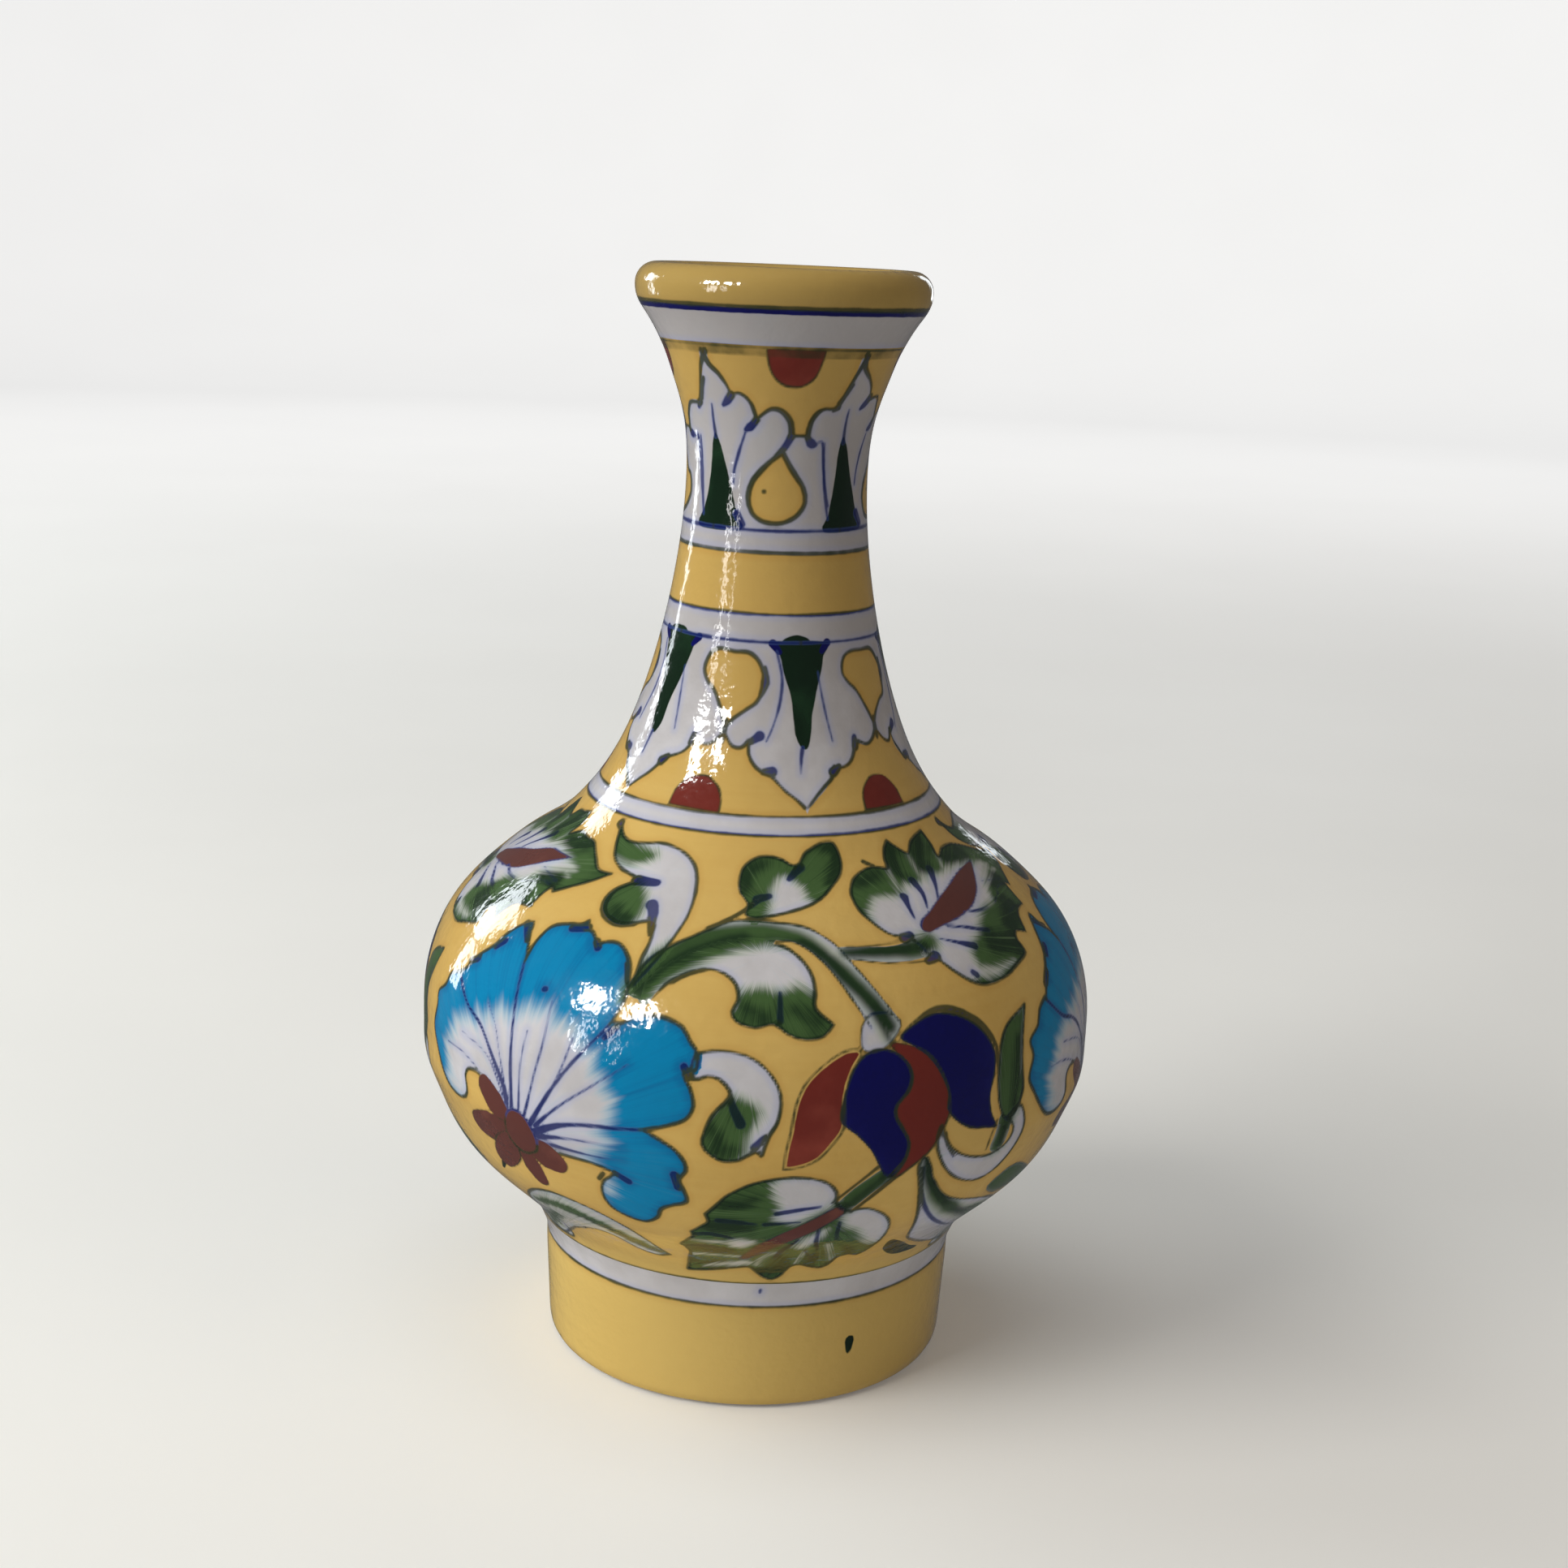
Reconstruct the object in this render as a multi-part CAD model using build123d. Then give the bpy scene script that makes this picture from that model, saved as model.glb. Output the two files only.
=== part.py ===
"""A hand-painted, glazed pottery vase, built up from its moulded and thrown pieces.

Millimetres, +Z up. The origin is on the floor under the middle of the vase. Every piece is round
about Z, so each is drawn as half a section, with the radius across and the height up, and turned.

The walls are quartz dough. Two bowls are pressed in moulds, the foot, neck and mouth are thrown,
and a lute, a thin ring of wet dough, joins each one to the next. Two coats cover the outside:
white slip, which carries the painting, and clear glaze. The inside has one poured coat.
"""

import os

from build123d import *

# Heights of the joins, from the foot up
FOOT_TOP = 21.5
BELLY = 66.0
SHOULDER = 103.0
MOUTH = 190.0
HEIGHT = 200.0

# Thicknesses
GLAZE = 0.3
SLIP = 0.4
COATS = GLAZE + SLIP
WALL = 5.2  # a whole wall, with its coats on both sides
LUTE = 1.0  # height of a joining ring

# Foot: a low ring, slightly narrower at its base, with rounded edges
FOOT_EDGE_ROUND = 2.6  # of the bare dough, which stands on the floor
FOOT_EDGE = (34.4, FOOT_EDGE_ROUND)  # middle of that round
FOOT_INSIDE = 31.0
FOOT_INSIDE_ROUND = 1.6
GLAZE_LINE = -35.0  # degrees below level on the round, where the coats stop

# Floor: a shallow dish that hangs inside the foot ring
DISH_UNDERSIDE = 13.0
DISH_TOP = 18.5

# The glazed outline, as (radius, height)
FOOT_CORNER = (38.7, FOOT_TOP)
DISH_LEVEL = (45.9, 33.0)  # outside the place where the floor meets the wall
WIDEST = (62.0, BELLY)
SHOULDER_CORNER = (34.4, SHOULDER)
MOUTH_BASE = (23.4, MOUTH)
LIP_SIDE = (26.25, 196.25)
LOWER_BOWL = [FOOT_CORNER, (40.9, 27.0), DISH_LEVEL, (52.2, 39.0), (56.8, 45.0), (60.7, 54.0), WIDEST]
UPPER_BOWL = [WIDEST, (60.8, 75.0), (56.5, 84.0), (50.9, 90.0), (43.5, 96.0), SHOULDER_CORNER]
LOWER_NECK = [SHOULDER_CORNER, (29.1, 110.0), (23.6, 122.0), (18.8, 140.0), (16.2, 163.0)]
UPPER_NECK = [(17.6, 176.0), (20.4, 184.0), MOUTH_BASE]

# Directions of the outline at the joins, as (across, up)
UPRIGHT = (0.0, 1.0)
ABOVE_FOOT = (0.36, 1.0)
AT_SHOULDER = (-0.9, 1.0)
AT_MOUTH = (0.58, 1.0)

# Lip: rounded over its top, with a tighter round inside
LIP_OUTER_ROUND = HEIGHT - LIP_SIDE[1]
LIP_CREST = LIP_SIDE[0] - LIP_OUTER_ROUND
LIP_INNER_ROUND = 3.2
LIP_INNER_EDGE = HEIGHT - LIP_INNER_ROUND

SAMPLES = 13  # points that an inset curve is drawn through


def turned(edges):
    """The solid that a closed half section sweeps about Z."""
    return revolve(Plane.XZ * make_face(edges), axis=Axis.Z, revolution_arc=360)


def start(edge):
    return edge.position_at(0)


def end(edge):
    return edge.position_at(1)


def inset(curve, depth):
    """A curve at a depth into the wall, whose ends stay at the heights of the joins."""
    points = []
    for step in range(SAMPLES):
        along = step / (SAMPLES - 1)
        place = curve.position_at(along)
        slope = curve.tangent_at(along)
        points.append((place.X - depth / slope.Y, place.Y))
    return Spline(*points, tangents=[curve.tangent_at(0), curve.tangent_at(1)])


def outline():
    """The glazed outline: both bowls, the neck, and the flare up to the side of the lip."""
    lower_bowl = Spline(*LOWER_BOWL, tangents=[ABOVE_FOOT, UPRIGHT])
    upper_bowl = Spline(*UPPER_BOWL, tangents=[UPRIGHT, AT_SHOULDER])
    neck = Spline(*LOWER_NECK, *UPPER_NECK, tangents=[AT_SHOULDER, AT_MOUTH])
    flare = Spline(MOUTH_BASE, LIP_SIDE, tangents=[AT_MOUTH, UPRIGHT])
    return lower_bowl, upper_bowl, neck, flare


def outside(depth):
    """A surface a depth under the outline, from the foot's corner up and over the lip."""
    outer_round = CenterArc((LIP_CREST, LIP_SIDE[1]), LIP_OUTER_ROUND - depth, 0, 90)
    inner_round = CenterArc((LIP_CREST, LIP_INNER_EDGE), LIP_INNER_ROUND - depth, 90, 90)
    return [inset(curve, depth) for curve in outline()] + [outer_round, inner_round]


def inside(coat_left):
    """The inside, from the middle of the floor to the lip, with a coat still to go on it."""
    lower_bowl, upper_bowl, neck, _ = outline()
    above_floor = lower_bowl.trim(lower_bowl.param_at_point(DISH_LEVEL), 1)
    depth = WALL - coat_left
    sides = [inset(curve, depth) for curve in (above_floor, upper_bowl, neck)]
    floor = TangentArc((0, DISH_TOP + COATS - coat_left), start(sides[0]), tangent=(1, 0))
    lip_edge = (LIP_CREST - LIP_INNER_ROUND + coat_left, LIP_INNER_EDGE)
    throat = Spline(end(sides[-1]), lip_edge, tangents=[AT_MOUTH, UPRIGHT])
    return [floor] + sides + [throat]


def outer_surface(depth):
    """A surface of a coat, from the glaze line on the foot to the inner edge of the lip."""
    foot_round = FOOT_EDGE_ROUND + COATS - depth
    foot_edge = CenterArc(FOOT_EDGE, foot_round, GLAZE_LINE, -GLAZE_LINE)
    above_foot = outside(depth)
    foot_wall = Line(end(foot_edge), start(above_foot[0]))
    return [foot_edge, foot_wall] + above_foot


def coat(face, back):
    """The coat between two surfaces that each run from the bottom up."""
    lower_edge = Line(start(face[0]), start(back[0]))
    lip_edge = Line(end(face[-1]), end(back[-1]))
    return turned(face + back + [lower_edge, lip_edge])


def foot_ring():
    """The thrown ring that the vase stands on."""
    outer_edge = CenterArc(FOOT_EDGE, FOOT_EDGE_ROUND, -90, 90)
    inner_middle = (FOOT_INSIDE + FOOT_INSIDE_ROUND, FOOT_INSIDE_ROUND)
    inner_edge = CenterArc(inner_middle, FOOT_INSIDE_ROUND, 180, 90)
    side_top = start(outside(COATS)[0])
    inside_top = (FOOT_INSIDE, FOOT_TOP)
    side = Line(end(outer_edge), side_top)
    top = Line(side_top, inside_top)
    inner_wall = Line(inside_top, start(inner_edge))
    base = Line(end(inner_edge), start(outer_edge))
    return turned([outer_edge, side, top, inner_wall, inner_edge, base])


def pot():
    """All the dough above the foot ring, in one piece, before it is parted at the joins."""
    outer = outside(COATS)
    inner = inside(COATS)
    underside = TangentArc((0, DISH_UNDERSIDE), (FOOT_INSIDE, FOOT_TOP), tangent=(1, 0))
    seat = Line(end(underside), start(outer[0]))
    middle = Line(start(inner[0]), start(underside))
    return turned(outer + inner + [underside, seat, middle])


def between(solid, low, high):
    """The part of a solid between two heights."""
    width = 2 * WIDEST[0] + 10
    return solid & (Pos(0, 0, (low + high) / 2) * Box(width, width, high - low))


def lute(solid, height):
    """The joining ring of dough about a height."""
    return between(solid, height - LUTE / 2, height + LUTE / 2)


def dough_pieces():
    """The pot parted into bowls, neck and mouth, with the lutes between them."""
    whole = pot()
    under_dish = Pos(0, 0, FOOT_TOP) * Cylinder(FOOT_INSIDE, 2 * LUTE)
    foot_lute = between(whole, FOOT_TOP, FOOT_TOP + LUTE) - under_dish
    half = LUTE / 2
    return {
        "foot_ring": foot_ring(),
        "foot_lute": foot_lute,
        "lower_bowl": between(whole, 0, BELLY - half) - foot_lute,
        "belly_lute": lute(whole, BELLY),
        "upper_bowl": between(whole, BELLY + half, SHOULDER - half),
        "shoulder_lute": lute(whole, SHOULDER),
        "neck": between(whole, SHOULDER + half, MOUTH - half),
        "mouth_lute": lute(whole, MOUTH),
        "mouth_rim": between(whole, MOUTH + half, HEIGHT),
    }


def coats():
    """The slip and the glaze outside, and the poured coat inside."""
    return {
        "slip_coat": coat(outer_surface(GLAZE), outer_surface(COATS)),
        "glaze_coat": coat(outer_surface(0), outer_surface(GLAZE)),
        "inner_coat": coat(inside(0), inside(COATS)),
    }


os.makedirs("parts", exist_ok=True)
for name, solid in (dough_pieces() | coats()).items():
    solid.label = name
    export_step(solid, f"parts/{name}.step")
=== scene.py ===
"""A hand-painted, glazed pottery vase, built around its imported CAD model.

The painting is laid on the glazed outside as a map: an angle in degrees round the vase, 0 at the
front and growing to the viewer's right, and a rise in millimetres, measured up the glazed outline
from the line on the foot where the glaze stops. Each band of the outside is a Canvas, a grid of
points on the skin. A Brush lays paint on it: for each kind of paint, every grid point keeps its
distance in millimetres from the edge of that paint, below zero inside it. The glaze material turns
those distances into brushed edges, washes and lines.
"""

import math

import bpy
import numpy as np
from mathutils import Matrix, Vector


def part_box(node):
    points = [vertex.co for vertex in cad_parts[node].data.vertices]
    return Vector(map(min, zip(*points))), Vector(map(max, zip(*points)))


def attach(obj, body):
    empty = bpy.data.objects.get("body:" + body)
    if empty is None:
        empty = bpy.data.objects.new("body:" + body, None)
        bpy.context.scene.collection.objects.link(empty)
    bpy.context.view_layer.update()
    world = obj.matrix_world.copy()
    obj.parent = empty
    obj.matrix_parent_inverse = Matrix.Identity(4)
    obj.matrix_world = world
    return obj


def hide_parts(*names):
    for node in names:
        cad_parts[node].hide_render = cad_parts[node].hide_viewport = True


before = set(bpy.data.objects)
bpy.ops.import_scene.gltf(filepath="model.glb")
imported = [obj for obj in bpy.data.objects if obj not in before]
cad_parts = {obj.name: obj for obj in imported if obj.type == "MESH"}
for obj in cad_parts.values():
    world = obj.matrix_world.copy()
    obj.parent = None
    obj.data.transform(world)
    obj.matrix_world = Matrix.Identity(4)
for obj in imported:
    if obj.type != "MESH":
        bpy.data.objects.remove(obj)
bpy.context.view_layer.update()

MM = 0.001
GLAZE_DEPTH = 0.25  # thickness of the painted skin
BACKING_STEP = 2.5  # between the rows of the skin's plain inner side
FAR = 4.0  # distances from paint aren't kept beyond this
LINE = 0.75  # width of an outline
FINE_LINE = 0.5
PATH_STEP = 0.8  # between the points of a smooth path
WASH_REACH = 0.6  # how far a wash runs out past the edge of its leaf
FAN_REACH = 60  # how far from a root its streaks spread
PAINTS = (
    "white", "line", "green", "shade", "turquoise", "dark_green", "maroon", "brown", "blue", "fan",
)


# ---------------------------------------------------------------- the glazed outline

def seam_outline(node):
    """The outer side of a turned coat, from its lower edge to its upper edge, as (radius, height)."""
    mesh = node.data
    places = [tuple(round(c / MM, 3) for c in vertex.co) for vertex in mesh.vertices]
    on_seam = [x > 0 and abs(y) < 0.001 for x, y, _ in places]
    beside = {}
    for edge in mesh.edges:
        a, b = edge.vertices
        if on_seam[a] and on_seam[b]:
            beside.setdefault(places[a], set()).add(places[b])
            beside.setdefault(places[b], set()).add(places[a])
    here = min(beside, key=lambda place: place[2])
    path = [here]
    step = max(beside[here] - {here}, key=lambda place: place[0])
    crest = max(place[2] for place in beside)
    over_lip = False
    while not (over_lip and step[0] > here[0]):
        here = step
        path.append(here)
        over_lip = over_lip or here[2] > crest - 0.01
        step = next(place for place in beside[here] if place not in path[-3:])
    return np.array([(x, z) for x, _, z in path])


class Outline:
    """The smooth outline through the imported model's points, followed by its rise."""

    SPACING = 0.1
    SOFTNESS = 0.5  # how far the glaze rounds a corner

    def __init__(self, points):
        steps = np.r_[0, np.cumsum(np.hypot(*np.diff(points, axis=0).T))]
        slopes = np.gradient(points, steps, axis=0)
        rises = np.arange(0, steps[-1], self.SPACING)
        start = np.clip(np.searchsorted(steps, rises, side="right") - 1, 0, len(points) - 2)
        span = (steps[start + 1] - steps[start])[:, None]
        t = (rises - steps[start])[:, None] / span
        path = (
            (2 * t**3 - 3 * t**2 + 1) * points[start]
            + (t**3 - 2 * t**2 + t) * span * slopes[start]
            + (3 * t**2 - 2 * t**3) * points[start + 1]
            + (t**3 - t**2) * span * slopes[start + 1]
        )
        reach = int(3 * self.SOFTNESS / self.SPACING)
        weights = np.exp(-0.5 * (np.arange(-reach, reach + 1) * self.SPACING / self.SOFTNESS) ** 2)
        weights /= weights.sum()
        inner = slice(reach, len(path) - reach)
        for axis in (0, 1):
            path[inner, axis] = np.convolve(path[:, axis], weights, mode="valid")
        path = np.minimum(path, points.max(axis=0))
        self.rises = rises
        self.path = path
        slope = np.gradient(path, axis=0)
        self.slope = slope / np.hypot(*slope.T)[:, None]

    @property
    def length(self):
        return self.rises[-1]

    def at(self, rise):
        """Radius and height at each rise."""
        return [np.interp(rise, self.rises, self.path[:, axis]) for axis in (0, 1)]

    def outward(self, rise):
        """The outward direction at each rise, as (across, up)."""
        across, up = [np.interp(rise, self.rises, self.slope[:, axis]) for axis in (0, 1)]
        return up, -across


outline = Outline(seam_outline(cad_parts["glaze_coat"]))


def on_skin(angle, rise, depth=0.0):
    """Points in millimetres, for arrays of angles and rises."""
    radius, height = outline.at(rise)
    across, up = outline.outward(rise)
    radius = radius - depth * across
    turn = np.radians(angle)
    return np.stack([radius * np.sin(turn), -radius * np.cos(turn), height - depth * up + 0 * turn], axis=-1)


# ---------------------------------------------------------------- canvas and brush

class Canvas:
    """A band of the skin as a grid of points, with a distance from every paint at each."""

    def __init__(self, low, high, columns, spacing):
        rows = round((high - low) / spacing)
        self.rises = np.linspace(low, high, rows + 1)
        self.columns = columns
        self.turn_step = 360 / columns
        angles = np.arange(columns) * self.turn_step - 180
        self.points = on_skin(angles[None, :], self.rises[:, None])
        self.paint = {name: np.full((rows + 1, columns), FAR) for name in PAINTS}
        self.paint["fan"][:] = 0

    def rows_between(self, low, high):
        return slice(np.searchsorted(self.rises, low), np.searchsorted(self.rises, high, side="right"))

    def columns_between(self, low, high):
        """Column numbers from one angle to another, counted on past the back of the vase."""
        first = math.floor((low + 180) / self.turn_step)
        last = math.ceil((high + 180) / self.turn_step)
        return np.arange(first, last + 1)

    def angle(self, column):
        return column * self.turn_step - 180


def smooth_path(points, closed):
    """A smooth path through points. A point given twice in a row is a sharp corner."""
    points = np.array(points, float)
    if closed:
        points = np.vstack([points[-1], points, points[:2]])
    else:
        points = np.vstack([points[0], points, points[-1]])
    path = []
    for before, here, after, later in zip(points, points[1:], points[2:], points[3:]):
        if np.allclose(here, after):
            continue
        count = max(2, int(np.abs(after - here).max() / PATH_STEP))
        t = np.linspace(0, 1, count, endpoint=False)[:, None]
        path.append(
            0.5 * (
                2 * here
                + (after - before) * t
                + (2 * before - 5 * here + 4 * after - later) * t**2
                + (3 * here - before - 3 * after + later) * t**3
            )
        )
    if not closed:
        path.append(points[-1:])
    return np.vstack(path)


class Brush:
    """Paints on a canvas, with every motif turned round the vase by the same angle."""

    STREAKS = 20  # how closely a fan's streaks lie

    def __init__(self, canvas, turn=0.0, stretch=1.0, shake=0.0, seed=0):
        self.canvas = canvas
        self.turn = turn
        self.stretch = stretch
        self.shake = shake
        self.random = np.random.default_rng(seed)

    def placed(self, points):
        points = np.array(points, float)
        points[:, 0] = points[:, 0] * self.stretch + self.turn
        if self.shake:
            repeated = np.r_[False, np.all(np.isclose(points[1:], points[:-1]), axis=1)]
            shift = self.random.normal(0, self.shake, points.shape)
            shift[repeated] = np.roll(shift, 1, axis=0)[repeated]
            points += shift
        return points

    def distances(self, path, widths):
        """Each grid point's distance from a path, less half the path's width there."""
        canvas = self.canvas
        gap = np.full_like(canvas.paint["line"], FAR)
        places = on_skin(path[:, 0], path[:, 1])
        halves = np.interp(np.linspace(0, 1, len(path)), np.linspace(0, 1, len(widths)), widths) / 2
        for i in range(len(path) - 1):
            low, high = np.sort(path[i:i + 2, 1])
            rows = canvas.rows_between(low - FAR, high + FAR)
            if rows.start >= rows.stop:
                continue
            radius = np.hypot(*places[i, :2])
            margin = math.degrees(FAR / radius)
            left, right = np.sort(path[i:i + 2, 0])
            columns = canvas.columns_between(left - margin, right + margin) % canvas.columns
            block = np.ix_(np.arange(rows.start, rows.stop), columns)
            along = places[i + 1] - places[i]
            off = canvas.points[block] - places[i]
            t = np.clip(off @ along / max(along @ along, 1e-9), 0, 1)
            distance = np.linalg.norm(off - t[..., None] * along, axis=-1)
            distance -= halves[i] + t * (halves[i + 1] - halves[i])
            gap[block] = np.minimum(gap[block], distance)
        return gap

    def inside(self, path):
        """Which grid points lie inside a closed path."""
        canvas = self.canvas
        mask = np.zeros(canvas.paint["line"].shape, bool)
        rows = canvas.rows_between(path[:, 1].min(), path[:, 1].max())
        columns = canvas.columns_between(path[:, 0].min(), path[:, 0].max())
        angles = canvas.angle(columns)
        ends = np.roll(path, -1, axis=0)
        for row in range(rows.start, rows.stop):
            rise = canvas.rises[row]
            cross = (path[:, 1] <= rise) != (ends[:, 1] <= rise)
            a, b = path[cross], ends[cross]
            crossings = np.sort(a[:, 0] + (rise - a[:, 1]) / (b[:, 1] - a[:, 1]) * (b[:, 0] - a[:, 0]))
            mask[row, columns % canvas.columns] |= np.searchsorted(crossings, angles) % 2 == 1
        return mask

    def signed(self, points):
        """Each grid point's distance from a closed smooth outline, below zero inside it."""
        path = smooth_path(self.placed(points), closed=True)
        gap = self.distances(np.vstack([path, path[:1]]), [0, 0])
        return np.where(self.inside(path), -gap, gap)

    def lay(self, paint, distance):
        self.canvas.paint[paint] = np.minimum(self.canvas.paint[paint], distance)

    def lift(self, paint, distance):
        self.canvas.paint[paint] = np.maximum(self.canvas.paint[paint], -distance)

    def trace(self, distance, line):
        """Draws a line along the edge of a shape or a stroke."""
        self.lay("line", np.abs(distance) - line / 2)

    def shape(self, paint, points, line=0.0, inset=0.0):
        """Fills a closed outline, and draws a line round it where one has a width."""
        distance = self.signed(points)
        self.lay(paint, distance + inset)
        if line:
            self.trace(distance, line)
        return distance

    def hole(self, paint, points, line):
        """Takes a closed outline out of a paint, and draws a line round it."""
        distance = self.signed(points)
        self.lift(paint, distance)
        self.trace(distance, line)

    def leaf(self, points, root, line=LINE):
        """A white leaf with an outline, whose washes spread from its root."""
        region = self.shape("white", points, line)
        self.fan(region, root)
        return region

    def brushed(self, points, widths):
        """Each grid point's distance from a stroke, whose width changes evenly through the widths."""
        return self.distances(smooth_path(self.placed(points), closed=False), widths)

    def stroke(self, points, *widths, paint="line"):
        distance = self.brushed(points, widths)
        self.lay(paint, distance)
        return distance

    def strokes(self, paint, rows):
        """Several strokes of one paint. Each row is its points and then its widths."""
        for points, *widths in rows:
            self.stroke(points, *widths, paint=paint)

    def part(self, paint, points, *widths):
        """Parts a wash with a pale stroke."""
        self.lift(paint, self.brushed(points, widths))

    def cover(self, distance, line):
        """Clears the lines under a shape or a stroke, and draws its own edge."""
        self.lift("line", distance)
        self.trace(distance, line)

    def wash(self, paint, region, *bare):
        """Washes a paint over a region up to its outline, except where it is left bare."""
        distance = -np.minimum.reduce([self.signed(part) for part in bare])
        self.lay(paint, np.where(region < WASH_REACH, distance, FAR))

    def fan(self, region, root):
        """Makes the streaks of a wash spread from a root, inside a region."""
        root = self.placed([root])[0]
        place = on_skin(root[0], root[1])
        canvas = self.canvas
        turn = math.radians(root[0])
        sideways = np.array([math.cos(turn), math.sin(turn), 0])
        off = canvas.points - place
        spread = self.STREAKS * np.arctan2(off @ sideways, off[..., 2])
        near = (region < 1) & (np.linalg.norm(off, axis=-1) < FAN_REACH)
        canvas.paint["fan"][near] = spread[near]


# ---------------------------------------------------------------- bands and lines round the vase

def ring(canvas, rise, width, paint="line", wobble=0.05, seed=0, faint=-FAR):
    """A line painted right round the vase as it turns on the wheel.

    The nearer faint is to 0, the thinner its paint lies."""
    random = np.random.default_rng(seed)
    angles = np.radians(canvas.angle(np.arange(canvas.columns)))
    waver = sum(
        random.normal(0, wobble / wave) * np.sin(wave * angles + random.uniform(0, 2 * math.pi))
        for wave in range(1, 7)
    )
    distance = np.abs(canvas.rises[:, None] - rise - waver[None, :]) - width / 2
    canvas.paint[paint] = np.minimum(canvas.paint[paint], np.maximum(distance, faint))


def white_band(canvas, low, high):
    ring(canvas, (low + high) / 2, high - low, paint="white", wobble=0)


# ---------------------------------------------------------------- the belly's motifs

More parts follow.
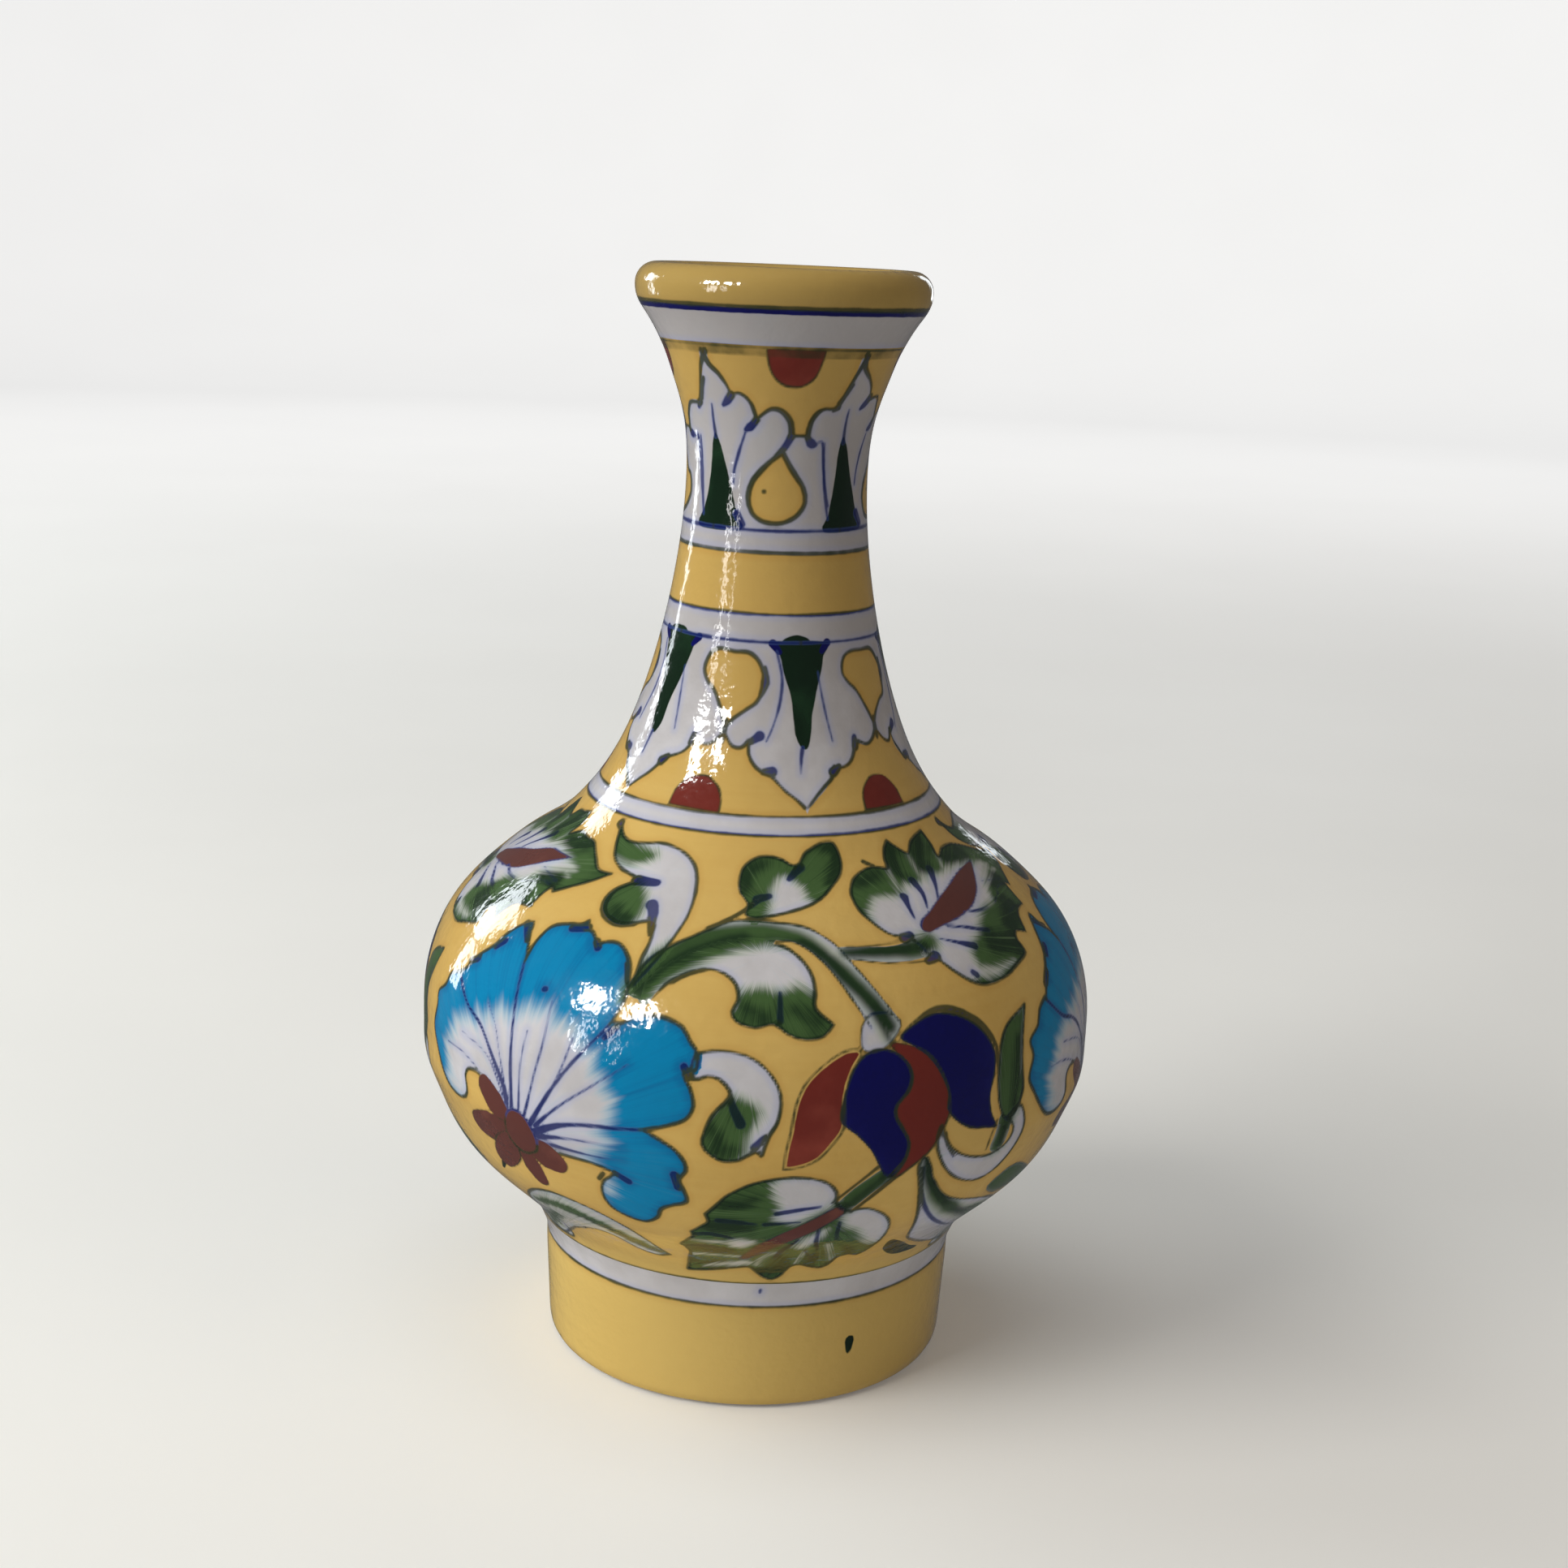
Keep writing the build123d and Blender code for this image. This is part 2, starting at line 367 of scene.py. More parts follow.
def turquoise_flower(brush):
    """A fan of five turquoise petals on a brown calyx, rayed with cobalt."""
    heart = (-39.5, 62.5)
    petals = [
        (-53, 65.5), (-55, 63.8), (-59, 64), (-62, 66), (-65, 69.5), (-67, 73), (-66, 77), (-66.5, 79.5),
        (-64, 81.5), (-63, 84), (-60, 85.3), (-59, 86), (-58, 87), (-56.5, 89.5), (-54, 92), (-52.5, 95),
        (-50.5, 97.5), (-48, 98.8), (-47, 97), (-45, 94), (-44.2, 92.5), (-44.2, 92.5), (-44.2, 96),
        (-43, 99.2), (-40, 100.6), (-36.5, 101.3), (-35.5, 102.3), (-34.8, 101), (-33, 100.3), (-31, 98.6),
        (-31, 98.6), (-28, 99.5), (-25.5, 98.8), (-23, 96), (-22, 92), (-22, 89.5), (-23.2, 86), (-23.2, 86),
        (-21.5, 86), (-19, 87.7), (-15, 88), (-11.5, 86.7), (-10, 84.5), (-8.5, 82.5), (-8.8, 80),
        (-10.5, 79), (-9.5, 77), (-8.8, 74), (-10, 71.5), (-13, 70), (-16.5, 68.8), (-16.5, 68.8),
        (-14, 67.5), (-11.5, 66), (-10, 64), (-9.8, 62), (-11, 60), (-10.3, 57.5), (-10, 55), (-12, 54),
        (-14.5, 52.5), (-15.5, 50), (-18, 48), (-21, 48.5), (-24, 50.5), (-25, 54), (-24, 57), (-22, 59),
        (-25, 60.2), (-29, 60.5), (-33, 60.5), (-38, 60), (-42, 62), (-44.5, 66.5), (-47.5, 69.3),
        (-50, 70.3), (-52.5, 70), (-53.5, 68.5),
    ]
    region = brush.leaf(petals, heart, line=0.8)
    brush.wash(
        "turquoise", region,
        [
            (-57, 63.5), (-60.5, 67), (-60, 74), (-55, 79.5), (-49, 81.5), (-44.5, 83.5), (-38, 85.5),
            (-31, 84.5), (-27, 82), (-23.5, 77), (-21.5, 71), (-22.5, 66), (-25, 62), (-30, 59), (-42, 58),
            (-50, 62),
        ],
        [(-24.5, 57.5), (-22.8, 57.5), (-22.6, 54), (-24.8, 53.5)],
    )
    rays = [
        ([(-42, 65), (-43, 70), (-47, 76), (-50, 79), (-55, 81.3), (-60, 85.3)], 1.2, 0.9, 0.8),
        ([(-41, 65), (-41.3, 72), (-41.8, 80), (-43, 87), (-44.3, 92.5)], 1.0, 0.7, 0.8),
        ([(-38.5, 65), (-36.5, 73), (-35, 80), (-35, 87)], 0.8, 0.5, 0.3),
        ([(-37, 65), (-33, 72), (-29, 78), (-24.5, 84), (-23.2, 86)], 1.2, 0.7, 0.7),
        ([(-33, 72), (-31, 76.5), (-29.5, 82)], 0.5, 0.4, 0.3),
        ([(-36, 65), (-31, 70), (-25, 75), (-19.5, 79.5)], 0.9, 0.5, 0.3),
        ([(-36.5, 63.5), (-32, 66), (-27, 67.5), (-20, 68.3), (-16.5, 68.8)], 1.6, 0.8, 0.7),
        ([(-36, 62.8), (-31.5, 64), (-26, 64.7), (-20, 64.8)], 1.2, 0.5, 0.3),
        ([(-36, 62), (-30, 62), (-24.5, 62), (-20, 62.4)], 1.3, 0.6, 0.3),
        ([(-43, 68), (-46, 73), (-49, 75), (-55, 76)], 0.6, 0.4, 0.3),
        ([(-42, 68), (-44, 75), (-46, 80), (-49, 83)], 0.6, 0.4, 0.3),
        ([(-45, 67.5), (-50, 71), (-55, 72.5), (-60, 72.5)], 0.6, 0.4, 0.3),
        ([(-39.5, 66), (-39.3, 74), (-38.6, 81)], 0.6, 0.4, 0.3),
    ]
    brush.strokes("line", rays)
    cobalt_touches = [
        ((-53, 92.3), (-51.6, 93.8), 1.6), ((-58, 88), (-56, 89), 1.6), ((-38, 100.2), (-34.8, 101), 1.8),
        ((-23.4, 96), (-22.3, 93), 1.3), ((-24, 83.2), (-22.3, 85.2), 1.3),
        ((-10.6, 80.4), (-9.6, 78.8), 1.5), ((-11.7, 61), (-11.2, 58.2), 1.7),
        ((-21.8, 59.2), (-19.6, 57.8), 1.5), ((-49.5, 98.3), (-46.5, 95.5), 1.5),
        ((-25, 57), (-24, 58.5), 1.1), ((-31.3, 98.9), (-30.4, 97.8), 1.6),
        ((-37.5, 88.5), (-37.1, 88.6), 1.3),
    ]
    for begin, finish, width in cobalt_touches:
        brush.stroke([begin, finish], width)
    sepals = [
        [(-42.5, 64), (-47.8, 68.8), 4.8], [(-44, 61), (-50.8, 60.2), 6.6], [(-43, 58.8), (-46.8, 54.4), 6.4],
        [(-40, 57.5), (-38.2, 52.6), 4.4], [(-37, 60), (-33.2, 58.2), 6.4],
    ]
    for begin, finish, width in sepals:
        distance = brush.stroke([begin, finish], width * 0.75, width, width * 0.75, paint="brown")
        brush.cover(distance, 0.2)
    distance = brush.shape("brown", [
        (-43, 63), (-41.5, 66.3), (-38.3, 66), (-36.3, 62.8), (-37, 59.3), (-40.5, 57.8), (-42.8, 59.8),
    ])
    brush.cover(distance, FINE_LINE)
    brush.stroke([(-46.5, 54.5), (-49.5, 50.5)], 1.8, 0.6, paint="dark_green")


def horn_leaf(brush):
    """A white leaf like a horn over the first flower, with a green ball in its curl."""
    brush.leaf([
        (-47.5, 122.8), (-47.5, 122.8), (-44, 120.7), (-40, 119.9), (-35, 120.3), (-30, 120.9), (-26, 120.7),
        (-21.5, 119.7), (-18, 117.8), (-16, 115), (-15, 111), (-15, 107), (-16, 103.5), (-18, 98.5),
        (-21.2, 92.5), (-21.2, 92.5), (-21.2, 97), (-20.8, 101), (-21.5, 104.5), (-24, 104.3), (-27.5, 103),
        (-31, 103.3), (-34, 105), (-35, 107.5), (-34, 110), (-31, 112), (-31, 112.8), (-33, 113.4),
        (-37, 114.2), (-41, 115.8), (-44, 118.3),
    ], (-26, 115))
    brush.stroke([(-47, 122), (-42, 118.8), (-36.5, 117.8), (-31, 118.2)], 1.6, 4.4, 3.4, 0.8, paint="green")
    brush.shape("green", [
        (-31.5, 112), (-34.5, 110), (-35.5, 107), (-34, 104), (-30, 102.5), (-26.5, 103.5), (-25.5, 107),
        (-27.5, 110.5),
    ])
    brush.stroke([(-31, 106), (-30, 104.6), (-27.4, 104.6)], 1.6, 2.2, 1.2, paint="shade")
    brush.strokes("line", [
        ([(-30.5, 112.3), (-34.2, 109.5), (-34.6, 106.5), (-33, 104.2), (-29, 103), (-25.5, 103.6)],
         0.9, 1.4, 1.5, 1.2),
        ([(-30.5, 112.5), (-25.5, 112.7)], 2.6, 1.8),
        ([(-23.8, 108), (-22.6, 106.4), (-21.4, 102)], 2.4, 1.8, 0.7),
        ([(-47.8, 122.6), (-47, 122)], 1.9, 1.2),
    ])


def main_stem(brush):
    """The stem that climbs from the first flower and arches over to the iris."""
    upper_edge = [
        (-22, 91.5), (-20, 97), (-16.5, 100.5), (-12.5, 103), (-9, 105), (-5.5, 106.5), (-1, 106.8),
        (3, 106.6), (8, 106), (11.5, 104.7), (15.3, 101.7), (17.8, 97.8), (20, 94.3), (22.2, 90.6),
        (23.6, 87.8),
    ]
    lower_edge = [
        (18.8, 87.2), (17.2, 90.3), (14, 96), (11, 100), (7, 102.7), (2, 103), (-2, 102.2), (-6, 101.6),
        (-10, 100.4), (-14.5, 97.3), (-17, 94), (-18.6, 90.5),
    ]
    brush.shape("white", upper_edge + lower_edge)
    brush.stroke(upper_edge, 0.7, 0.8, 0.7, 0.5, 0.5)
    brush.part("line", lower_edge[5:], 2.2)
    brush.stroke(lower_edge[5:], 2.0, paint="white")
    brush.stroke(lower_edge[:6], 0.5, 0.5, 0.6, 0.3)
    brush.stroke([
        (-20.5, 91), (-18, 95.6), (-14, 99.2), (-8.5, 102.3), (-2, 104), (4, 104.3), (9, 102.8), (13.2, 99.3),
        (17.2, 94.3), (20.2, 90.4), (22, 87),
    ], 4.2, 5.2, 6.0, 5.2, 4.4, 3.2, 3.0, 2.8, 2.6, 2.6, paint="green")
    brush.strokes("shade", [
        ([(-20, 92), (-15, 97.8), (-9, 101.6), (-3, 103.4)], 0.8, 1.4, 1.2, 0.8),
        ([(8.8, 102.2), (13.2, 99), (18.6, 92.4), (21.6, 87)], 1.0, 1.6, 1.6, 2.2),
    ])


def scroll_leaf(brush):
    """The curled leaf that hangs under the stem, green in its lower lobes."""
    region = brush.leaf([
        (-18, 90.5), (-15.5, 93.5), (-12.5, 95.8), (-9, 97), (-5.5, 96.3), (-3.5, 94.5), (-3, 92), (-3.8, 90),
        (-3, 88.4), (0, 87.5), (3, 88.2), (5.2, 86.6), (8, 85.7), (11, 86.2), (12.6, 88), (12.6, 88),
        (9.8, 90.6), (10, 94), (9.5, 97), (7.5, 100), (4.5, 102), (0, 102.4), (-5, 101.7), (-10, 100),
        (-14.5, 97), (-17.8, 93.5),
    ], (1, 100))
    brush.wash("green", region, [
        (-19, 89), (-4.5, 89.5), (-3, 92.5), (0.5, 93.6), (4.5, 93), (7, 94), (10.5, 93), (11, 99), (5, 104),
        (-19, 104),
    ])
    brush.stroke([(4, 93.4), (4, 88.5)], 0.6, 1.2)
    brush.strokes("shade", [
        ([(-1.6, 90.6), (1.2, 89.4)], 1.6, 2.2), ([(6.6, 90.6), (9.6, 88)], 2.0, 1.6),
    ])
    brush.stroke([(-14.5, 93.9), (-12, 95.8), (-8.5, 96.9)], 0.7, 1.1, 0.7)


def twin_leaf(brush):
    """Two small leaves that open like a heart above the stem."""
    brush.stroke([(-10, 104.6), (-5.5, 107.3), (-2, 109.8), (0.3, 112)], 1.2, 1.0, 1.5)
    region = brush.leaf([
        (-2.5, 110.3), (-4.5, 112.5), (-5.2, 115), (-4.7, 118), (-2, 119.9), (1, 120.5), (5, 120.1),
        (8.5, 118.8), (10.5, 119.3), (12, 121), (15, 122.2), (18, 123), (21.2, 122.8), (22.2, 120), (21, 117),
        (17, 113.8), (14, 111.6), (10, 109.8), (4, 108.2), (-1, 107.4), (-3, 108.2),
    ], (3, 109))
    brush.wash("green", region, [
        (1, 106), (1.5, 110), (2.2, 114), (4.5, 116.8), (8, 116.8), (10.6, 114.5), (12, 112), (14, 109),
        (8, 106),
    ])
    brush.strokes("shade", [
        ([(18, 122), (21, 121.6), (20.6, 118.6), (17, 115.4)], 1.6, 2.6, 2.0, 1.0),
        ([(-3.4, 114), (-2.6, 117.4), (1, 118.8)], 1.6, 2.2, 1.4),
    ])
    brush.strokes("line", [
        ([(10.3, 118.5), (7.2, 116)], 2.0, 1.2), ([(-0.5, 111.5), (2, 112.2)], 2.0, 1.5),
    ])


def leaf_flower(brush):
    """The flower of green-tipped petals round a brown spike, on its own branch."""
    brush.stroke([(15.5, 100.5), (21, 100), (27, 99.5), (33.5, 100.2)], 2.2, 2.8, 3.2, 4.2, paint="white")
    region = brush.leaf([
        (30.5, 102.2), (27, 103.3), (24.5, 105.5), (22.5, 108), (21.7, 110.8), (22.2, 113.3), (24, 115.4),
        (27, 116.9), (31, 117.6), (35.3, 117), (36, 119), (37.7, 121), (39.6, 122.2), (39.6, 122.2),
        (42, 120.6), (45, 119.1), (48, 120.8), (51.5, 121.8), (56, 122.4), (56, 122.4), (56.6, 119.5),
        (55.5, 116.8), (60, 118), (65, 118), (69, 117.3), (74, 115.3), (78.5, 113.2), (83, 112.3),
        (83, 112.3), (79, 109.6), (75.5, 108), (72, 105.5), (72, 105.5), (70.5, 106.3), (69.8, 104.2),
        (69.5, 101.5), (69.5, 101.5), (66, 101.2), (63.8, 100), (62, 97.2), (62, 97.2), (59, 98.2),
        (57.3, 96.6), (57.5, 94.2), (53, 92.8), (49, 91.7), (45, 91.2), (41.8, 91.6), (39.3, 92.9),
        (36.8, 95.2), (35, 97.3), (33.5, 98.2), (32.5, 100.5),
    ], (36, 102.5))
    brush.wash("green", region, [
        (24, 103), (23.4, 107), (25.5, 110.6), (29, 111.6), (34, 111.4), (36.5, 113.4), (42, 113.5),
        (46, 114.8), (51, 114.2), (57, 114.6), (62, 114.2), (70, 113), (73, 111), (68, 109.4), (62, 107),
        (60, 104.6), (54, 103.6), (49, 100.6), (44, 97.2), (43.5, 93), (38, 92), (33, 97), (29, 101),
    ])
    petal_gaps = [
        [(34.6, 112), (35.4, 117.6)], [(43.4, 113.4), (45, 119.4)], [(53.4, 114), (55.5, 117.4)],
        [(66, 111.2), (73, 109.4)],
    ]
    for points in petal_gaps:
        brush.part("green", points, 0.9, 0.7, 0.2)
    brush.part("green", [(42, 94), (47, 93), (53, 93.6)], 2.6, 2.2, 1.0)
    brush.strokes("line", [
        ([(70.6, 106.2), (67, 106.6), (63.6, 105.9)], LINE, 0.3),
        ([(69.5, 101.5), (66, 101.9), (61.6, 101.6)], LINE, 0.3),
    ])
    shaded_cores = [
        ([(37.4, 115.6), (39.2, 120)], 2.4), ([(46, 116), (52, 120)], 2.8),
        ([(58.5, 115.6), (67, 115.8)], 2.6), ([(59, 100.4), (64, 103)], 3.6), ([(50, 97.6), (56, 96.6)], 4.2),
        ([(65, 108.2), (70, 107.6)], 2.2), ([(26, 114.6), (30.4, 115.6)], 1.8),
    ]
    brush.strokes("shade", shaded_cores)
    brush.shape("brown", [
        (34.6, 103.4), (35.5, 105), (39, 106.6), (44, 108.8), (50, 110.8), (56, 112.4), (62, 113.2),
        (67.5, 113.4), (67.5, 113.4), (62, 110.6), (57.5, 108), (52, 105.6), (46, 104.2), (40, 103.3),
        (36, 102.6),
    ], line=0.35)
    veins = [
        ([(34.2, 105.8), (34.3, 108), (34.8, 110.4)], 0.5, 1.0, 1.9),
        ([(38.8, 107.2), (40.4, 110.5), (40.3, 113.5)], 0.5, 1.0, 1.8),
        ([(43.5, 108.8), (46, 111.5), (48.6, 115)], 0.5, 0.9, 1.8),
        ([(37.2, 101.2), (41, 99.8), (44.8, 98.3)], 0.4, 0.8, 1.6),
        ([(41, 102.9), (45, 102.2), (48.5, 101), (51, 100.3)], 0.4, 0.8, 1.0),
        ([(48, 104.9), (52, 104.3), (56, 104.2)], 0.4, 0.8, 0.5),
        ([(70, 107.5), (62, 109)], 0.5, 0.3), ([(60, 104.6), (64, 105.6)], 0.6, 0.4),
    ]
    brush.strokes("line", veins)
    brush.strokes("line", [
        ([(29.6, 102.2), (31.2, 102.6)], 2.3, 1.9), ([(32.6, 97.4), (34.6, 98)], 1.6, 2.4),
        ([(28.8, 118.9), (31.5, 117.8)], 1.0, 0.8),
    ])
    brush.stroke([(16.5, 100.6), (24, 100.4), (31, 100.2), (34.6, 100.8)], 2.0, 2.4, 3.0, 2.6, paint="green")
    brush.stroke([(18, 100.2), (25, 99.8), (33, 99.8)], 1.2, 1.6, 2.2, paint="shade")
    brush.strokes("line", [
        ([(17, 101.6), (23, 101.5), (29, 101.8)], FINE_LINE),
        ([(18, 99.2), (24, 98), (32, 97.5)], FINE_LINE), ([(41.2, 93.8), (41.8, 93.2)], 1.2),
    ])


def iris(brush):
    """The blue and brown iris that hangs from the arching stem."""
    brown_left = [
        (5.2, 63.5), (5.2, 63.5), (8, 64), (10.5, 65.4), (12.5, 67.8), (14.2, 70.8), (14.2, 76), (15.2, 80),
        (17, 83.3), (15.2, 83.8), (13, 83), (10.3, 81), (8, 78.4), (6.7, 75), (6, 70), (5.4, 66.5),
    ]
    blue_left = [
        (14, 71.4), (13.8, 74), (14.3, 77), (15.5, 80.5), (17.5, 82.8), (20, 83.6), (22.5, 82.8), (24.5, 81),
        (25.3, 78.5), (24.6, 76), (22.8, 74), (22.7, 72), (24, 69.6), (25.2, 67), (24.8, 64), (23.4, 60.6),
        (21.7, 61.2), (20.4, 63.5), (18.8, 66.5), (16.3, 69.5),
    ]
    brown_right = [
        (21.8, 84.4), (25, 83.8), (28.3, 82), (30.2, 79.4), (31.4, 76.5), (32.2, 73.5), (32.2, 71),
        (30.8, 67.5), (28.7, 64.5), (26, 62), (23.8, 60), (22.8, 61), (24.6, 64), (25, 67), (23.8, 69.6),
        (22.5, 72), (22.6, 74), (24.4, 76), (25.1, 78.5), (24.3, 81), (22.8, 82.6),
    ]
    blue_right = [
        (23.6, 85.2), (26.5, 87), (30, 88.2), (33.5, 87.8), (37, 86.2), (39.7, 83.6), (41.4, 80),
        (41.2, 76.5), (40.4, 73), (40.8, 69.5), (42.5, 66.2), (42.5, 66.2), (40, 66.8), (37, 67.4),
        (34.5, 68.8), (32.8, 70.4), (31.8, 72), (31.8, 75), (30, 79), (28, 81.8), (25.4, 83.8),
    ]
    for paint, petal, inset in (
        ("maroon", brown_left, 0.45), ("maroon", brown_right, 0.0), ("blue", blue_left, -0.1),
        ("blue", blue_right, -0.1),
    ):
        brush.shape(paint, petal, line=FINE_LINE, inset=inset)
    brush.stroke([
        (23.8, 85.6), (27, 87.6), (31, 88.9), (35, 88), (39.5, 84.8), (42, 80.4), (41.8, 76),
    ], 0.4, 1.2, 1.5, 1.3, 0.9, 0.5)
    brush.shape("white", [
        (17, 84), (18.5, 83.2), (21, 83.8), (23.4, 86), (24, 88), (22, 89.3), (19, 89.3), (17.3, 87.4),
    ], line=FINE_LINE)
    brush.stroke([(21.6, 85.2), (21, 87.5), (20.2, 89.6)], 1.2, 2.2, 2.4, paint="green")
    brush.stroke([(21.6, 85.2), (20.8, 88)], 1.0, 1.6, paint="shade")
    stalk = [(21.8, 61), (18.4, 57.6), (15.4, 53.8)]
    brush.stroke(stalk, 3.4, 3.6, 3.2, paint="white")
    brush.stroke(stalk, 3.2, 3.4, 3.0, paint="green")
    brush.strokes("line", [
        ([(20.2, 63), (16.9, 59.2), (13.9, 55.6)], 0.8, 0.6),
        ([(23.4, 60), (20.6, 56.6), (17.4, 53)], 1.1, 0.9),
    ])
    brush.stroke([(21.4, 60.4), (18.8, 57.4), (16.2, 54)], 1.0, 2.0, 2.2, paint="shade")


def crescent(brush):
    """The white crescent between the flower and the iris, with a green drop in its hook."""
    brush.leaf([
        (-9, 82.3), (-5.5, 83.4), (-1.5, 83), (1.5, 81.3), (3.6, 78.5), (4.4, 75.5), (4, 72), (2.8, 69.5),
        (1.8, 66), (1.8, 66), (0.8, 66.8), (-1.5, 65.2), (-4, 64.8), (-6, 65.8), (-7.3, 67.6), (-6.9, 70),
        (-5.7, 73), (-3.6, 75.6), (-3.4, 77), (-5, 78.8), (-7, 79.2), (-9, 78.5),
    ], (-1, 80))
    brush.shape("green", [
        (-3.4, 75.6), (-6, 72.5), (-7.5, 69), (-7, 66), (-4, 64.5), (-1.3, 66), (-0.8, 69.5), (0.8, 73.5),
        (-1, 75),
    ])
    brush.stroke([(-5.6, 70), (-4.4, 67), (-2.4, 67)], 1.6, 2.4, 1.4, paint="shade")
    brush.strokes("line", [
        ([(-3.3, 76), (-2.6, 73.7), (-1.6, 71.5)], 0.9, 1.5, 1.8),
        ([(0.6, 67.4), (2.2, 69.3)], 1.5, 1.1),
    ])


def feathered_leaf(brush):
    """The broad leaf low on the belly, its lobes washed green round a brown midrib."""
    region = brush.leaf([
        (14.6, 55.4), (14.2, 58), (12.6, 60.2), (10, 61.4), (7, 61.8), (4, 61.4), (1, 60.4), (-1.5, 58.8),
        (-3.6, 57), (-5, 55), (-7, 52.4), (-7, 52.4), (-6.6, 50.4), (-8, 48.8), (-10, 46.8), (-10, 46.8),
        (-9.8, 45), (-11.3, 43), (-12.9, 40.6), (-12.2, 39.6), (-11.6, 37), (-12.6, 33), (-13.8, 28.6),
        (-13.8, 28.6), (-11, 28.9), (-7, 29.7), (-3, 30.6), (0.5, 31.4), (2, 30.2), (4, 28), (6.5, 27),
        (8.6, 28.3), (10.3, 31.6), (12.5, 32.2), (15, 31), (17.2, 30.2), (19.2, 30.8), (20.4, 34.8),
        (20.4, 34.8), (23, 35.3), (25.2, 34.3), (26.6, 36.5), (27.2, 40), (26.8, 44.5), (26, 48),
        (24.5, 50.6), (22.4, 52.4), (19.8, 53.6), (16.6, 53.4),
    ], (12, 53))
    brush.wash(
        "green", region,
        [(4.5, 62), (3.6, 58), (4.6, 54.8), (4, 51.8), (8, 50), (13, 53.5), (16, 56), (14, 62)],
        [(-4, 43.8), (-1, 45.4), (2, 44), (-0.6, 41), (-3.2, 41.8)],
        [(-10, 30.5), (-4, 33.8), (1, 34.5), (1.4, 32.8), (-3, 31.4)],
        [
            (15.5, 54), (16.6, 49), (19, 47.4), (21.4, 44), (23.4, 41), (27, 39.5), (28, 46), (25, 52),
            (19, 55),
        ],
        [(10.4, 46), (9, 41.5), (11, 40), (13.6, 44), (14.4, 49)],
    )
    lobe_gaps = [
        [(-11, 43.4), (-5, 43.4), (-0.5, 42.6)], [(-13, 35.8), (-6, 36.6), (0, 36.4)],
        [(2.4, 32.4), (3.4, 36), (6, 39)], [(11, 33), (11.4, 36), (12, 39)],
        [(19.6, 33.6), (17.6, 38), (16, 42)],
    ]
    for points in lobe_gaps:
        brush.part("green", points, 1.0, 1.4)
    shaded_lobes = [
        [(-4, 54), (1, 56.6)], [(-6.6, 49.4), (0.6, 48.6)], [(-10, 39), (-3, 38.6)], [(-11, 32), (-3, 33.2)],
        [(4, 29.6), (7.4, 31), (8.4, 36)], [(14.4, 33.6), (15.4, 38)], [(22, 37), (20, 40)],
    ]
    for points in shaded_lobes:
        brush.stroke(points, 1.6, 3.0, 1.6, paint="shade")
    midrib = [(15, 53.2), (11.5, 50), (7, 46), (3.6, 42), (1.4, 38.5), (-0.5, 35.8)]
    distance = brush.stroke(midrib, 2.6, 3.2, 3.4, 3.2, 2.6, 1.2, paint="brown")
    brush.trace(distance, 0.3)
    dark_veins = [
        ([(4.8, 53.3), (8.5, 54.2), (12, 54.8)], 1.4, 1.0, 0.5),
        ([(3, 50.4), (6.5, 50.8), (9, 51)], 1.3, 0.9, 0.5),
        ([(-5, 51), (-1, 50.8), (1.5, 50.4)], 1.2, 1.2, 0.7),
        ([(-9.6, 46), (-6.5, 46.6), (-2.5, 45.4)], 1.0, 1.4, 0.6),
        ([(-12, 40.2), (-8, 41), (-3, 39.5)], 1.0, 1.4, 0.6),
        ([(16, 50.4), (16.2, 47.5), (16.8, 44.5)], 0.7, 1.0, 0.7),
        ([(12.6, 48.4), (13, 44), (14.2, 40)], 0.7, 1.1, 0.7),
        ([(9.5, 45), (7.2, 40.5), (6, 36)], 0.7, 1.2, 0.7),
        ([(11.5, 40), (13, 37), (14.5, 34)], 0.4, 0.6, 0.4),
    ]
    brush.strokes("line", dark_veins)


